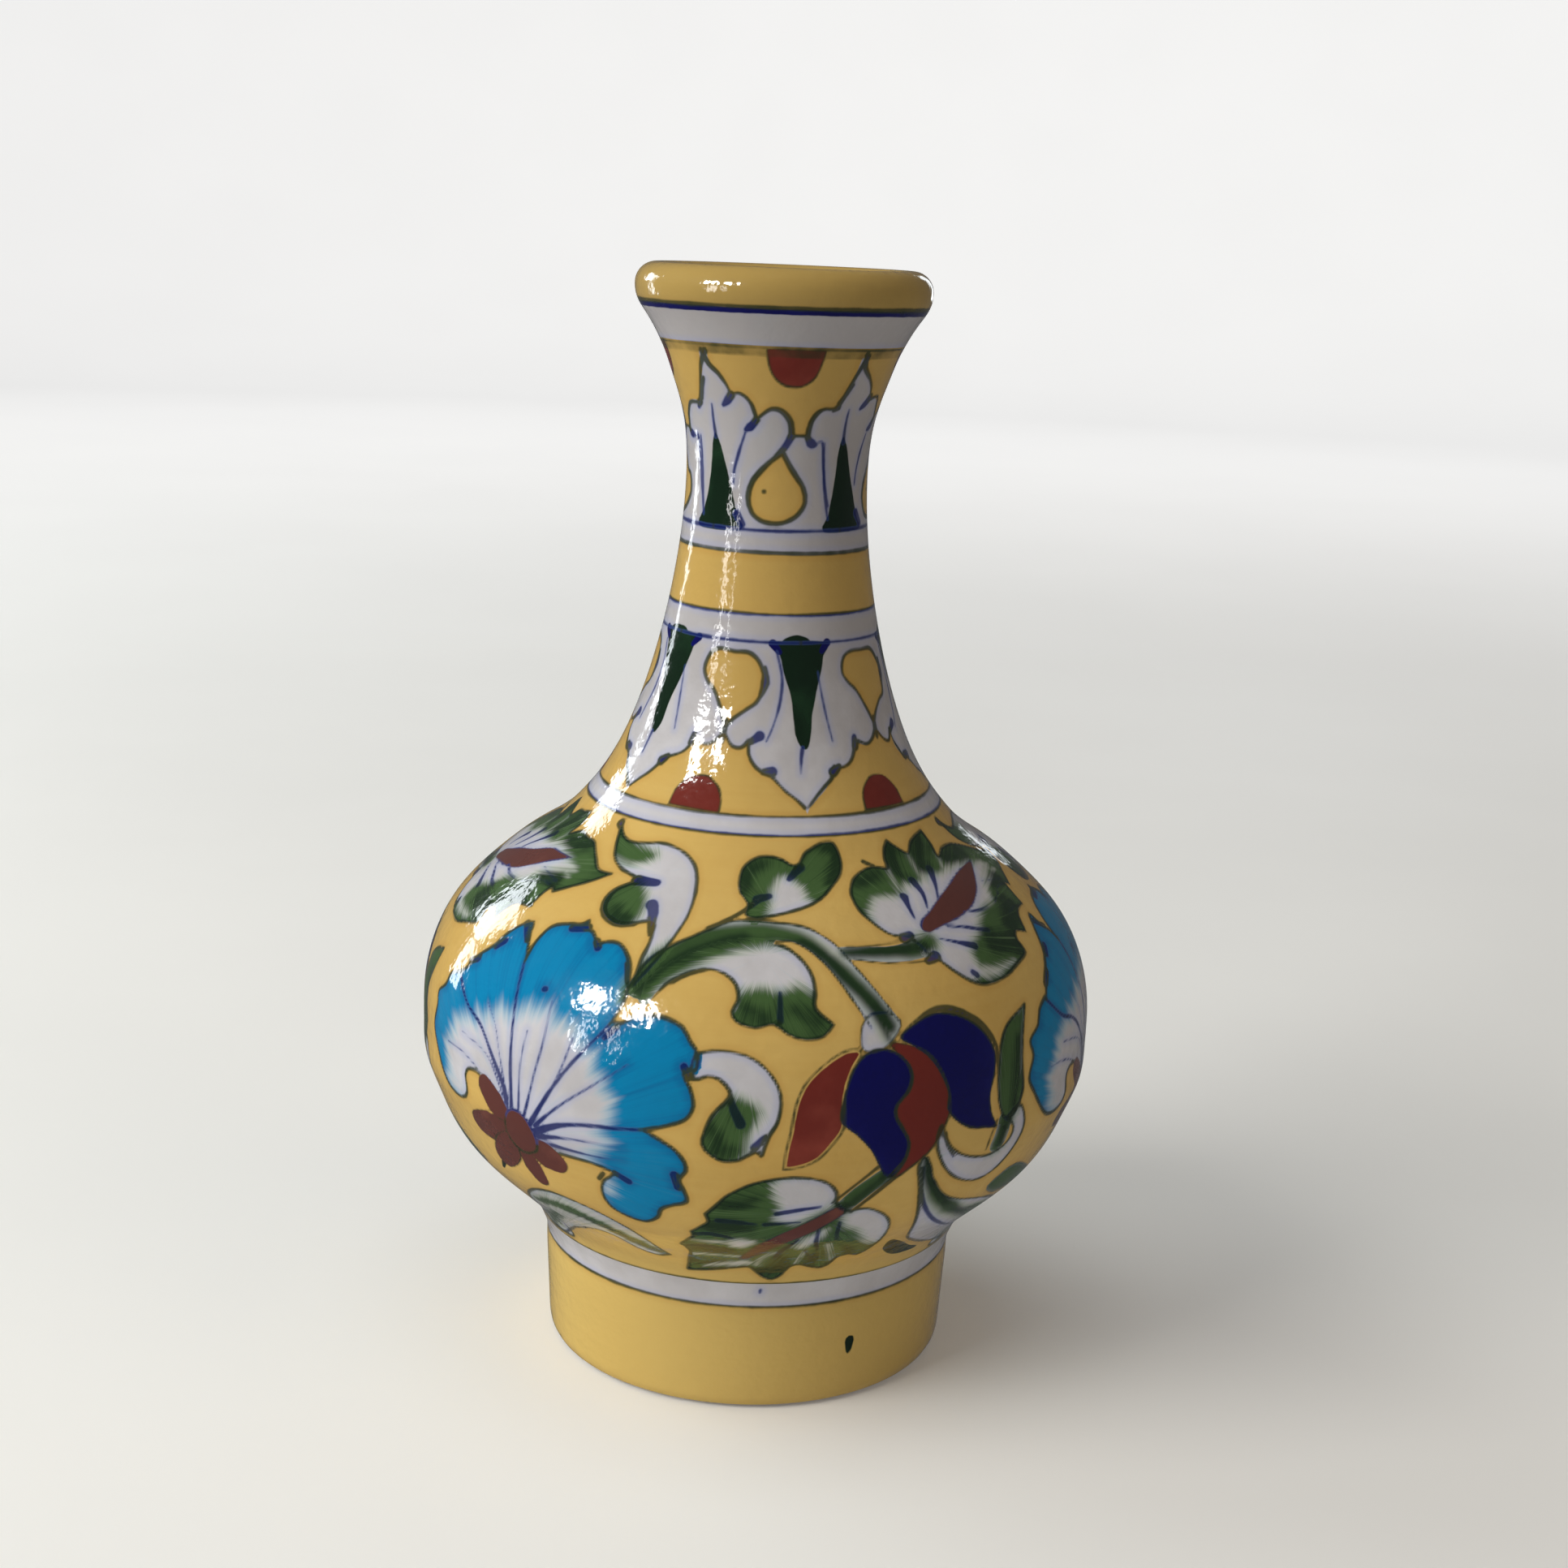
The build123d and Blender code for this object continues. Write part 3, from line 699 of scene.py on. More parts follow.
def curling_strips(brush):
    """The white strips that sweep from the iris down to the foot of the belly."""
    brush.leaf([
        (30.8, 69), (31.6, 67), (33.2, 64.5), (36, 62.4), (39.5, 61), (43, 60.6), (46, 62), (46.8, 65),
        (44.6, 67.4), (44.6, 67.4), (48, 68.8), (49.6, 65.5), (49.4, 61.5), (48, 58), (45.6, 55.8), (42, 55),
        (38, 56.2), (34.4, 58.8), (31.6, 62.4), (30.2, 66),
    ], (38, 66))
    for paint in ("white", "green"):
        brush.stroke([(44.4, 67), (43.6, 62.8)], 3.4, 3.8, paint=paint)
    brush.stroke([(44.6, 66), (44.2, 63)], 1.0, paint="shade")
    brush.strokes("line", [
        ([(42.6, 67.6), (41.4, 65), (41, 62)], FINE_LINE),
        ([(31.6, 67.5), (32.4, 65), (34, 62.6)], 0.9, 0.6),
    ])
    brush.shape("white", [
        (28.2, 64), (27.6, 62), (29, 57), (31, 50), (33, 43.5), (35, 39), (39, 35.5), (45, 32), (53, 29),
        (62, 27.2), (72, 27.6), (70, 33), (63, 38.5), (57, 43.5), (51, 46.8), (45, 49), (39.5, 51),
        (35, 53.6), (31.5, 58), (29.6, 62),
    ], line=LINE)
    brush.stroke([
        (28.7, 64), (30.5, 58.5), (34.5, 53), (40, 48), (47, 43.5), (56, 38), (68, 30),
    ], 2.4, 2.8, 2.6, 1.4, paint="green")
    brush.stroke([(28.7, 64), (30.5, 58.5), (34.5, 53), (40, 48), (47, 43.5)], 0.8, 1.2, 0.8, paint="shade")
    brush.stroke([(28.5, 61.5), (30.5, 54), (35, 47.5), (42, 41.5), (50, 36.5), (60, 31.5)], 0.8, 0.9, 0.5)
    brush.stroke([(44, 46), (52, 43), (60, 37.5)], 1.4, 2.6, 1.2, paint="green")
    brush.shape("dark_green", [
        (30.4, 39.5), (32.6, 38.5), (36, 36), (41, 32.2), (46.5, 29.4), (42, 29.2), (37.5, 30), (33.6, 32.4),
        (31, 35.6),
    ])
    leaflet = [(46.8, 51.6), (50, 54.2), (54, 54.4), (59, 52), (64, 48.4), (59, 47.2), (53, 47.6), (49, 49.2)]
    brush.shape("green", leaflet, line=FINE_LINE)
    brush.shape("white", leaflet)
    blade = brush.leaf([
        (50.8, 86), (50.8, 86), (47.4, 84.8), (44.6, 83.2), (43, 80.6), (42.2, 77), (42.2, 73), (43, 69.4),
        (44.8, 67), (47.2, 68.4), (48.4, 71.4), (48.1, 75), (48.2, 78.6), (49, 82),
    ], (45, 62))
    brush.lay("green", blade)
    brush.stroke([(46.2, 70), (46.4, 76), (47.2, 81)], 1.4, 1.2, 0.8, paint="shade")


def low_leaf(brush):
    """The pale, grey-washed leaf that arches under the first flower."""
    region = brush.leaf([
        (-63, 27.3), (-57, 33), (-51.5, 39), (-47, 44.3), (-42.5, 47.8), (-37.5, 49.4), (-32, 49),
        (-27, 47.2), (-23, 44), (-20.5, 40), (-19, 36.5), (-17, 33.6), (-17, 33.6), (-19.4, 32.4),
        (-22.4, 32.6), (-25.5, 34.2), (-28, 37), (-31.5, 38.2), (-35.5, 37.2), (-39, 35.3), (-43, 33.2),
        (-48, 30), (-53, 27.3), (-58, 26.6),
    ], (-55, 28))
    brush.lay("green", np.maximum(region, 1.2))
    brush.stroke([
        (-46, 42.4), (-40, 44.6), (-34, 44.2), (-29, 42), (-25, 38.6), (-21, 35.2), (-18, 33.6),
    ], 1.0, 2.2, 3.0, 3.0, 2.6, 1.4, paint="green")
    brush.stroke([(-36, 43), (-30, 41), (-25.6, 37.6), (-21, 34.4)], 0.8, 1.6, 2.0, 1.2, paint="shade")
    brush.stroke([(-58, 28.6), (-51, 33.4), (-44, 38)], 1.4, 2.4, 1.2, paint="green")


SPRAY_TURNS = (0, 117, 238.5)
SPRAY = (
    scroll_leaf, horn_leaf, twin_leaf, main_stem, turquoise_flower, crescent, leaf_flower, curling_strips,
    iris, feathered_leaf, low_leaf,
)


def belly_painting(canvas):
    """The whole spray of flowers, painted three times round the belly, each time a little differently."""
    for number, turn in enumerate(SPRAY_TURNS):
        brush = Brush(canvas, turn, shake=0.0 if number == 0 else 0.22, seed=number)
        for motif in SPRAY:
            motif(brush)


# ---------------------------------------------------------------- the friezes on the neck

UPPER_SPIKES = (-41.0, 42.5, 134.5, 227.0)
LOWER_SPIKES = (-53.5, 16.2, 88.8, 161.4, 233.9)


def frieze(canvas, spikes, motif):
    """Paints a motif between each two spikes, stretched from the front pair, for which it is drawn."""
    turns = [*spikes, spikes[0] + 360]
    for number, (left, right) in enumerate(zip(turns, turns[1:])):
        stretch = (right - left) / (spikes[1] - spikes[0])
        shake = 0.0 if number == 0 else 0.25
        motif(Brush(canvas, left - stretch * spikes[0], stretch, shake, seed=10 + number))


def upper_palmettes(brush):
    """The white leaves that stand on the upper frieze, from one dark spike to the next."""
    brush.shape("white", [
        (-43, 176), (-43, 176), (-43, 205.5), (-40.5, 208.3), (-40.5, 208.3), (-38, 206.3), (-33, 204.6),
        (-29, 202.6), (-27, 200.9), (-27, 200.9), (-22.5, 201.3), (-18, 200.5), (-15, 199), (-13, 196.8),
        (-13, 196.8), (-9.5, 197.7), (-5, 198.7), (-0.5, 198.7), (3.5, 197.9), (6.8, 196.4), (7.8, 194.4),
        (7.8, 194.4), (12, 194.2), (17, 194.2), (17, 194.2), (18.6, 196.6), (22, 198.3), (26, 199),
        (30.5, 199), (34, 199.4), (37, 202), (41, 205.3), (44.6, 208.3), (44.6, 208.3), (46, 205.8),
        (46, 176), (46, 176),
    ])
    brush.strokes("line", [
        ([(-40.5, 208.6), (-38, 206.3), (-33, 204.6), (-29, 202.6), (-27, 200.9)], 1.3, 0.6),
        ([(-27, 200.9), (-22.5, 201.3), (-18, 200.5), (-15, 199), (-13, 196.8)], 0.7, 0.7, 1.0),
        ([(-13, 196.8), (-9.5, 197.7), (-5, 198.7), (-0.5, 198.7), (3.5, 197.9), (6.8, 196.4), (7.8, 194.4)],
         0.7, 0.8, 1.0, 1.3),
        ([(7.8, 194.2), (12, 194.2), (17, 194.2)], 0.9, 0.7, 0.8),
        ([(17.4, 194.4), (18.6, 196.6), (22, 198.3), (26, 199), (30.5, 199), (34, 199.4)], 1.1, 0.8, 0.8),
        ([(34, 199.4), (37, 202), (41, 205.3), (44.6, 208.6)], 0.8, 0.8, 1.4),
    ])
    brush.hole("white", [
        (3, 191.2), (3, 191.2), (-3, 189.9), (-10, 187.9), (-15.3, 185.8), (-17.2, 183.2), (-15, 180.9),
        (-9.5, 179.5), (-2, 179), (6, 179.3), (13.5, 180.6), (18, 182.8), (16.5, 185.2), (11.5, 187.3),
        (7, 189.2),
    ], line=1.0)
    brush.strokes("line", [
        ([(7.8, 194.2), (4.5, 192.3), (-1, 190.4)], 1.6, 1.3, 1.1),
        ([(-27, 200.9), (-29.5, 199.9), (-33, 198.9)], 1.7, 1.5, 0.7),
        ([(-13, 196.8), (-16, 195.6), (-20, 194.8)], 1.5, 1.7, 0.7),
        ([(17, 194.2), (19.5, 193), (23, 192.7)], 1.0, 1.9, 0.8),
        ([(-20, 194.3), (-24, 191), (-27.3, 187.6), (-27.6, 185.5)], 0.5, 0.8, 0.4),
        ([(23.5, 193), (27.6, 192.9), (29.3, 189), (31, 185.3), (33.5, 182)], 0.3, 0.8, 0.7, 0.6),
        ([(34, 199.3), (31.5, 198.8)], 1.5, 1.0),
        ([(-7.8, 184.4), (-7.2, 184.4)], 0.7),
    ])


def upper_spikes(canvas):
    """The dark green spikes that stand where two palmettes meet, with their cobalt tips."""
    for number, turn in enumerate(UPPER_SPIKES):
        brush = Brush(canvas, turn + 0.5, shake=0.15, seed=40 + number)
        brush.shape("dark_green", [
            (-12, 177.6), (-9, 180.5), (-6, 184), (-4.2, 188), (-3, 192), (-1, 193.8), (1.5, 193.3),
            (4.5, 191.2), (8, 188), (12, 184.5), (15, 181.5), (18, 179.4), (20, 177.6),
        ])
        brush.strokes("line", [
            ([(0, 193), (-1, 196), (-0.6, 198.8)], 0.9, 0.7, 0.4),
            ([(16.5, 180.6), (20.5, 178.4)], 1.6, 1.4),
            ([(-14, 193), (-13, 188), (-11.5, 183.5), (-9.5, 179.5)], 0.5, 0.7, 0.6),
            ([(-2.5, 203.4), (-8.5, 200)], 0.9, 1.3),
        ])


def lower_palmettes(brush):
    """The white leaves that hang in the lower frieze, from one dark spike to the next."""
    brush.shape("white", [
        (-56, 160), (-56, 160), (-56, 131), (-54.2, 129.6), (-54.2, 129.6), (-51, 131.4), (-47.5, 133),
        (-44.5, 134.8), (-42.5, 136.4), (-42.5, 136.4), (-38.5, 137), (-34.5, 138), (-32, 139.4),
        (-30.5, 140.9), (-30.5, 140.9), (-26, 139.9), (-21.5, 140.6), (-18, 142.2), (-14, 140.2), (-10, 140),
        (-7.2, 141.2), (-7.2, 141.2), (-6.8, 139), (-4.4, 137.1), (-1, 135.8), (1.6, 135.4), (1.6, 135.4),
        (4, 134.4), (7.5, 132.6), (11.5, 131), (14, 129.6), (14, 129.6), (16, 132.6), (18, 134.5), (18, 160),
        (18, 160),
    ])
    outlines = [
        [(-54.2, 129.6), (-51, 131.4), (-47.5, 133), (-44.5, 134.8), (-42.5, 136.4)],
        [(-42.5, 136.4), (-38.5, 137), (-34.5, 138), (-32, 139.4), (-30.5, 140.9)],
        [(-30.5, 140.9), (-26, 139.9), (-21.5, 140.6), (-18.3, 142.3)],
        [(-17.7, 142.3), (-14, 140.2), (-10, 140), (-7.2, 141.2)],
        [(-7.2, 141.2), (-6.8, 139), (-4.4, 137.1), (-1, 135.8), (1.6, 135.4)],
        [(1.6, 135.4), (4, 134.4), (7.5, 132.6), (11.5, 131), (14, 129.6)],
    ]
    for points in outlines:
        brush.stroke(points, 0.6, 0.7, 0.9)
    brush.hole("white", [
        (-18, 143.3), (-18, 143.3), (-21, 146.3), (-25.5, 149.4), (-30, 151), (-32.8, 153), (-31, 155.6),
        (-26, 156.8), (-18, 156.6), (-10, 156.5), (-4.6, 154.8), (-2, 151.6), (-4.4, 148.4), (-9.5, 146.6),
        (-14.5, 145),
    ], line=0.8)
    brush.strokes("line", [
        ([(-18, 144.5), (-18.2, 142), (-18.2, 140.6)], 1.1, 1.3, 0.7),
        ([(-2.2, 154), (-1.6, 151.5), (-3.6, 149)], 1.0, 1.7, 0.8),
        ([(-43.5, 135.6), (-41, 136.6)], 2.0, 1.3), ([(-31.8, 139.8), (-31.2, 141.6)], 1.6, 1.2),
        ([(-6.6, 141), (-2.8, 142.2)], 1.0, 1.9), ([(-0.6, 135.9), (2.6, 136)], 1.3, 2.0),
        ([(3.5, 157), (6.3, 152.5), (5.4, 148), (2.6, 144), (0, 141.3)], 0.4, 0.7, 0.3),
        ([(-45.5, 153), (-44, 148), (-42, 141.5)], 0.4, 0.6, 0.3),
    ])


def lower_spikes(canvas):
    """The dark green spikes that hang where two palmettes meet."""
    for number, turn in enumerate(LOWER_SPIKES):
        brush = Brush(canvas, turn - 0.4, shake=0.15, seed=60 + number)
        brush.shape("dark_green", [
            (-15, 158.8), (-11, 156.6), (-8.5, 153.2), (-6, 150), (-4.6, 146.8), (-3.6, 142.6), (-2, 140.4),
            (0, 139.8), (1.8, 140.5), (3.2, 142.6), (4.2, 146.2), (7, 150), (10, 153.4), (12, 156.6),
            (14, 158.8),
        ])
        brush.shape("dark_green", [(-10, 158), (-9, 159.2), (-2, 159.7), (4, 159.2), (5, 158)])
        brush.stroke([(-1, 140.3), (-1.8, 138), (-2.4, 135.8)], 0.8, 0.6, 0.3)
        for side in (-1, 1):
            brush.stroke([(side * 14.5, 158.3), (side * 11, 157)], 1.5, 1.0, paint="blue")


FULLNESS = 0.8  # under 1, a half-disc is fuller than a half circle


def half_discs(canvas, middles, half_width, straight, tip, seed):
    """Brown half-discs that stand on a line or hang from one."""
    for number, middle in enumerate(middles):
        brush = Brush(canvas, middle, shake=0.15, seed=seed + number)
        edge = []
        for step in range(0, 181, 20):
            across, out = math.cos(math.radians(step)), math.sin(math.radians(step))
            side = half_width * math.copysign(abs(across) ** FULLNESS, across)
            edge.append((side, straight + (tip - straight) * out ** FULLNESS))
        brush.shape("maroon", [edge[0]] + edge + [edge[-1]], line=0.4)


# ---------------------------------------------------------------- the bands of the outside

# The rises where one band of the painting ends and the next begins.
FOOT_TOP = 25.6
SHOULDER = 124.4
WAIST = 163.3
UNDER_LIP = 210.2


def foot_band():
    canvas = Canvas(0, FOOT_TOP, columns=360, spacing=0.8)
    white_band(canvas, 20.0, 26.5)
    ring(canvas, 19.9, 0.7, seed=2)
    brush = Brush(canvas)
    brush.stroke([(30.2, 9.3), (30.3, 11.4)], 1.1, 2.0, paint="dark_green")
    brush.stroke([(4.0, 23.4), (4.2, 24.2)], 0.8)
    return canvas


def belly_band():
    canvas = Canvas(FOOT_TOP, SHOULDER, columns=840, spacing=0.5)
    belly_painting(canvas)
    ring(canvas, FOOT_TOP, 0.7, seed=3)
    ring(canvas, SHOULDER, 0.7, seed=4)
    return canvas


def lower_frieze_band():
    canvas = Canvas(SHOULDER, WAIST, columns=540, spacing=0.4)
    white_band(canvas, 123, 127.9)
    ring(canvas, SHOULDER, 0.7, seed=4)
    ring(canvas, 127.9, 0.6, seed=6)
    frieze(canvas, LOWER_SPIKES, lower_palmettes)
    lower_spikes(canvas)
    middles = [spike + 29.5 for spike in LOWER_SPIKES]
    half_discs(canvas, middles, half_width=9.3, straight=128.2, tip=134.3, seed=70)
    white_band(canvas, 158.4, 165)
    ring(canvas, 158.5, 0.6, seed=8)
    ring(canvas, WAIST, 0.7, seed=9)
    return canvas


def upper_frieze_band():
    canvas = Canvas(WAIST, UNDER_LIP, columns=480, spacing=0.4)
    white_band(canvas, 173.7, 178)
    ring(canvas, WAIST, 0.7, seed=9)
    ring(canvas, 173.9, 0.75, seed=12)
    frieze(canvas, UPPER_SPIKES, upper_palmettes)
    upper_spikes(canvas)
    middles = [spike + 48 for spike in UPPER_SPIKES]
    half_discs(canvas, middles, half_width=13.5, straight=209.8, tip=203, seed=80)
    ring(canvas, 177.8, 0.75, seed=13)
    ring(canvas, 209.9, 0.55, seed=14)
    ring(canvas, 209.0, 1.5, seed=15, faint=-0.01)
    return canvas


def mouth_band():
    canvas = Canvas(UNDER_LIP, outline.length, columns=480, spacing=0.5)
    white_band(canvas, 209, 217.0)
    ring(canvas, 217.0, 1.1, paint="blue", seed=17)
    ring(canvas, 217.7, 0.9, seed=17)
    ring(canvas, 209.9, 0.55, seed=14)
    return canvas


# ---------------------------------------------------------------- skins

def skin(name, canvas, first, last, material):
    """A closed painted shell from one row of a canvas to another, or to its last row."""
    last = len(canvas.rises) - 1 if last is None else last
    rises = canvas.rises[first:last + 1]
    backing = np.linspace(rises[-1], rises[0], max(2, int((rises[-1] - rises[0]) / BACKING_STEP)))
    angles = canvas.angle(np.arange(canvas.columns))
    front = canvas.points[first:last + 1]
    back = on_skin(angles[None, :], backing[:, None], GLAZE_DEPTH)
    points = np.concatenate([front, back]) * MM
    rings, columns = points.shape[:2]
    ring_start = np.arange(rings)[:, None] * columns
    column = np.arange(columns)[None, :]
    after = np.roll(ring_start, -1, axis=0)
    beside = (column + 1) % columns
    faces = np.stack([ring_start + column, ring_start + beside, after + beside, after + column], axis=-1)
    mesh = bpy.data.meshes.new(name)
    mesh.from_pydata(points.reshape(-1, 3).tolist(), [], faces.reshape(-1, 4).tolist())
    mesh.materials.append(material)
    for paint, distance in canvas.paint.items():
        values = np.full((rings, columns), FAR, np.float32)
        values[:len(rises)] = distance[first:last + 1]
        mesh.attributes.new(paint, "FLOAT", "POINT").data.foreach_set("value", values.ravel())
    turn = np.radians(angles)[None, :]
    facing = []
    for heights, side in ((rises, 1), (backing, -1)):
        across, up = outline.outward(heights[:, None])
        normals = np.stack([across * np.sin(turn), -across * np.cos(turn), up + 0 * turn], axis=-1)
        facing.append(side * normals)
    mesh.shade_smooth()
    mesh.normals_split_custom_set_from_vertices(np.concatenate(facing).reshape(-1, 3).tolist())
    piece = bpy.data.objects.new(name, mesh)
    bpy.context.scene.collection.objects.link(piece)
    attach(piece, "root")
    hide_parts("glaze_coat")
    return piece


# ---------------------------------------------------------------- materials

class Nodes:
    """The node tree of one material, with short names for the nodes that these materials use."""

    def __init__(self, name):
        self.material = bpy.data.materials.new(name)
        self.material.use_nodes = True
        self.tree = self.material.node_tree
        self.surface = self.tree.nodes["Principled BSDF"]
        self.place = self.tree.nodes.new("ShaderNodeTexCoord").outputs["Object"]

    def set(self, socket, value):
        if isinstance(value, bpy.types.NodeSocket):
            self.tree.links.new(value, socket)
        else:
            socket.default_value = value

    def distance(self, paint):
        node = self.tree.nodes.new("ShaderNodeAttribute")
        node.attribute_name = paint
        return node.outputs["Fac"]

    def math(self, operation, *values):
        node = self.tree.nodes.new("ShaderNodeMath")
        node.operation = operation
        for socket, value in zip(node.inputs, values):
            self.set(socket, value)
        return node.outputs[0]

    def plus(self, first, *others):
        for other in others:
            first = self.math("ADD", first, other)
        return first

    def times(self, first, second):
        return self.math("MULTIPLY", first, second)

    def xyz(self):
        node = self.tree.nodes.new("ShaderNodeSeparateXYZ")
        self.set(node.inputs[0], self.place)
        return node.outputs[0], node.outputs[1], node.outputs[2]

    def height(self):
        return self.xyz()[2]

    def stretched(self, scale, offset=(0, 0, 0)):
        node = self.tree.nodes.new("ShaderNodeMapping")
        self.set(node.inputs["Vector"], self.place)
        node.inputs["Scale"].default_value = scale
        node.inputs["Location"].default_value = offset
        return node.outputs[0]

    def noise(self, scale, detail=2.0, vector=None):
        """Noise about zero, from about -0.5 to 0.5."""
        node = self.tree.nodes.new("ShaderNodeTexNoise")
        self.set(node.inputs["Vector"], vector or self.place)
        node.inputs["Scale"].default_value = scale
        node.inputs["Detail"].default_value = detail
        return self.math("SUBTRACT", node.outputs[0], 0.5)

    def ramp(self, value, low, high, start=0.0, finish=1.0):
        """A smooth change from start to finish as the value goes from low to high."""
        node = self.tree.nodes.new("ShaderNodeMapRange")
        node.interpolation_type = "SMOOTHSTEP"
        for socket, number in zip(node.inputs, (value, low, high, start, finish)):
            self.set(socket, number)
        return node.outputs[0]

    def mix(self, factor, below, above, blend="MIX"):
        node = self.tree.nodes.new("ShaderNodeMix")
        node.data_type = "RGBA"
        node.blend_type = blend
        self.set(node.inputs[0], factor)
        self.set(node.inputs[6], below)
        self.set(node.inputs[7], above)
        return node.outputs[2]

    def bump(self, height, strength, depth, under=None):
        node = self.tree.nodes.new("ShaderNodeBump")
        node.inputs["Strength"].default_value = strength
        node.inputs["Distance"].default_value = depth
        self.set(node.inputs["Height"], height)
        if under:
            self.set(node.inputs["Normal"], under)
        return node.outputs[0]

    def finish(self, base, roughness, relief):
        """Joins what the nodes worked out to the surface."""
        for socket, value in (("Base Color", base), ("Roughness", roughness), ("Normal", relief)):
            self.set(self.surface.inputs[socket], value)
        return self.material


def colour(red, green, blue):
    """A colour from its usual 0 to 255 values."""
    values = [c / 255 for c in (red, green, blue)]
    linear = [c / 12.92 if c < 0.04045 else ((c + 0.055) / 1.055) ** 2.4 for c in values]
    return (*linear, 1.0)


YELLOW = colour(212, 178, 104)
DEEP_YELLOW = colour(201, 163, 88)
FOOT_YELLOW = colour(208, 178, 104)
# Painted shade: these two yellows are darker to shade the neck and the rim.
SHADED_NECK_YELLOW = colour(192, 158, 88)
SHADED_RIM_YELLOW = colour(172, 144, 82)
POOLED_YELLOW = colour(176, 128, 54)
WHITE = colour(204, 202, 207)
# Grey for the white's random greying and for painted shade up the neck.
GREYED_AND_SHADED_WHITE = colour(178, 174, 176)
BLUED_WHITE = colour(150, 160, 208)
TURQUOISE = colour(4, 126, 176)
DEEP_TURQUOISE = colour(6, 98, 152)
PALE_TURQUOISE = colour(104, 178, 206)
LEAF = colour(66, 93, 52)
DEEP_LEAF = colour(30, 51, 29)
PALE_LEAF = colour(136, 160, 122)
DARK_GREEN = colour(14, 35, 20)
WORN_DARK_GREEN = colour(30, 60, 36)
BLUE = colour(7, 8, 84)
WORN_BLUE = colour(18, 22, 106)
MAROON = colour(112, 42, 34)
WORN_MAROON = colour(138, 62, 50)
BROWN = colour(94, 54, 49)
WORN_BROWN = colour(126, 76, 64)
COBALT = colour(12, 26, 92)
DILUTE_COBALT = colour(60, 80, 140)
OLIVE = colour(48, 56, 34)
DOUGH = colour(206, 190, 168)
DUSTY_DOUGH = colour(184, 164, 140)
LUTE = colour(196, 180, 158)
DUSTY_LUTE = colour(170, 152, 130)
PIT = colour(120, 100, 82)
DUSTY_SLIP = colour(188, 176, 160)
POURED_SLIP = colour(214, 208, 200)
STAINED_SLIP = colour(186, 176, 160)
PAPER = colour(236, 235, 233)
SHADED_PAPER = colour(232, 231, 229)


# Heights in metres between which the ground turns another yellow: a little less red on the foot, and darker
# up the neck and at the rim, which is painted shade.
HEIGHT_SHADED_YELLOWS = (
    (0.034, 0.024, FOOT_YELLOW), (0.1, 0.135, SHADED_NECK_YELLOW), (0.186, 0.192, SHADED_RIM_YELLOW),
)
# Each paint that covers what lies under it, where it is thick and where it is worn.
BODY_COLOURS = (
    ("dark_green", DARK_GREEN, WORN_DARK_GREEN), ("maroon", MAROON, WORN_MAROON),
    ("brown", BROWN, WORN_BROWN), ("blue", BLUE, WORN_BLUE),
)


def painted_edge(n, paint):
    """1 inside a paint and 0 outside it, with a slightly rough edge."""
    return n.ramp(n.plus(n.distance(paint), n.edge_noise), -0.14, 0.14, 1.0, 0.0)


def yellow_ground(n):
    """The ground, browner where it pools beside the white, and darker up the neck and at the rim as painted
    shade.
    """
    brushed = n.noise(1, 3, n.stretched((60, 60, 900)))
    unevenness = n.plus(n.cloud, n.times(brushed, 0.2))
    ground = n.mix(n.ramp(unevenness, -0.3, 0.3), YELLOW, DEEP_YELLOW)
    height = n.height()
    # Painted shade: the ground darkens up the neck and at the rim; the foot's yellow is only a little less
    # red.
    for low, high, height_yellow in HEIGHT_SHADED_YELLOWS:
        ground = n.mix(n.ramp(height, low, high, 0.0, 0.8), ground, height_yellow)
    return n.mix(n.ramp(n.distance("white"), 0.3, 1.8, 0.22, 0.0), ground, POOLED_YELLOW)


def white_slip(n):
    """The white, greying at random and, as painted shade, up the neck, and a little blue beside its outlines,
    which bleed.
    """
    # Painted shade: the height ramp greys the white up the neck; the noise greys it at random.
    greyed_and_shaded = n.plus(n.ramp(n.wide_noise, -0.3, 0.3, 0.0, 0.6), n.ramp(n.height(), 0.1, 0.15, 0.0, 0.9))
    slip = n.mix(greyed_and_shaded, WHITE, GREYED_AND_SHADED_WHITE)
    bleed = n.plus(n.distance("line"), n.times(n.wide_noise, 1.5))
    return n.mix(n.ramp(bleed, 0.0, 1.4, 0.3, 0.0), slip, BLUED_WHITE)


def fan_streaks(n):
    """Broad and fine streaks, which spread from the root of each leaf and flower."""
    place = n.tree.nodes.new("ShaderNodeCombineXYZ")
    n.set(place.inputs[0], n.distance("fan"))
    n.set(place.inputs[1], n.times(n.cloud, 1.2))
    return [n.noise(scale, 3, place.outputs[0]) for scale in (0.4, 2.6)]


def turquoise_wash(n):
    """How strong the turquoise is, and its colour."""
    unevenness = n.times(n.plus(n.wide_noise, n.fine_streaks), 1.8)
    spread = n.plus(n.distance("turquoise"), n.times(n.broad_streaks, 9.0), unevenness)
    strength = n.ramp(spread, -2.2, 3.6, 1.0, 0.0)
    pooled = n.ramp(n.distance("line"), 0.0, 2.0, 0.25, 0.0)
    depth = n.plus(n.broad_streaks, n.times(n.fine_streaks, 0.6), pooled)
    wash = n.mix(n.ramp(depth, -0.05, 0.35, 0.0, 0.75), TURQUOISE, DEEP_TURQUOISE)
    thinness = n.plus(n.cloud, n.times(n.fine_streaks, 0.4))
    wash = n.mix(n.ramp(thinness, 0.0, 0.4, 0.0, 0.35), wash, PALE_TURQUOISE)
    return strength, n.mix(n.ramp(strength, 0.05, 0.95), PALE_TURQUOISE, wash)


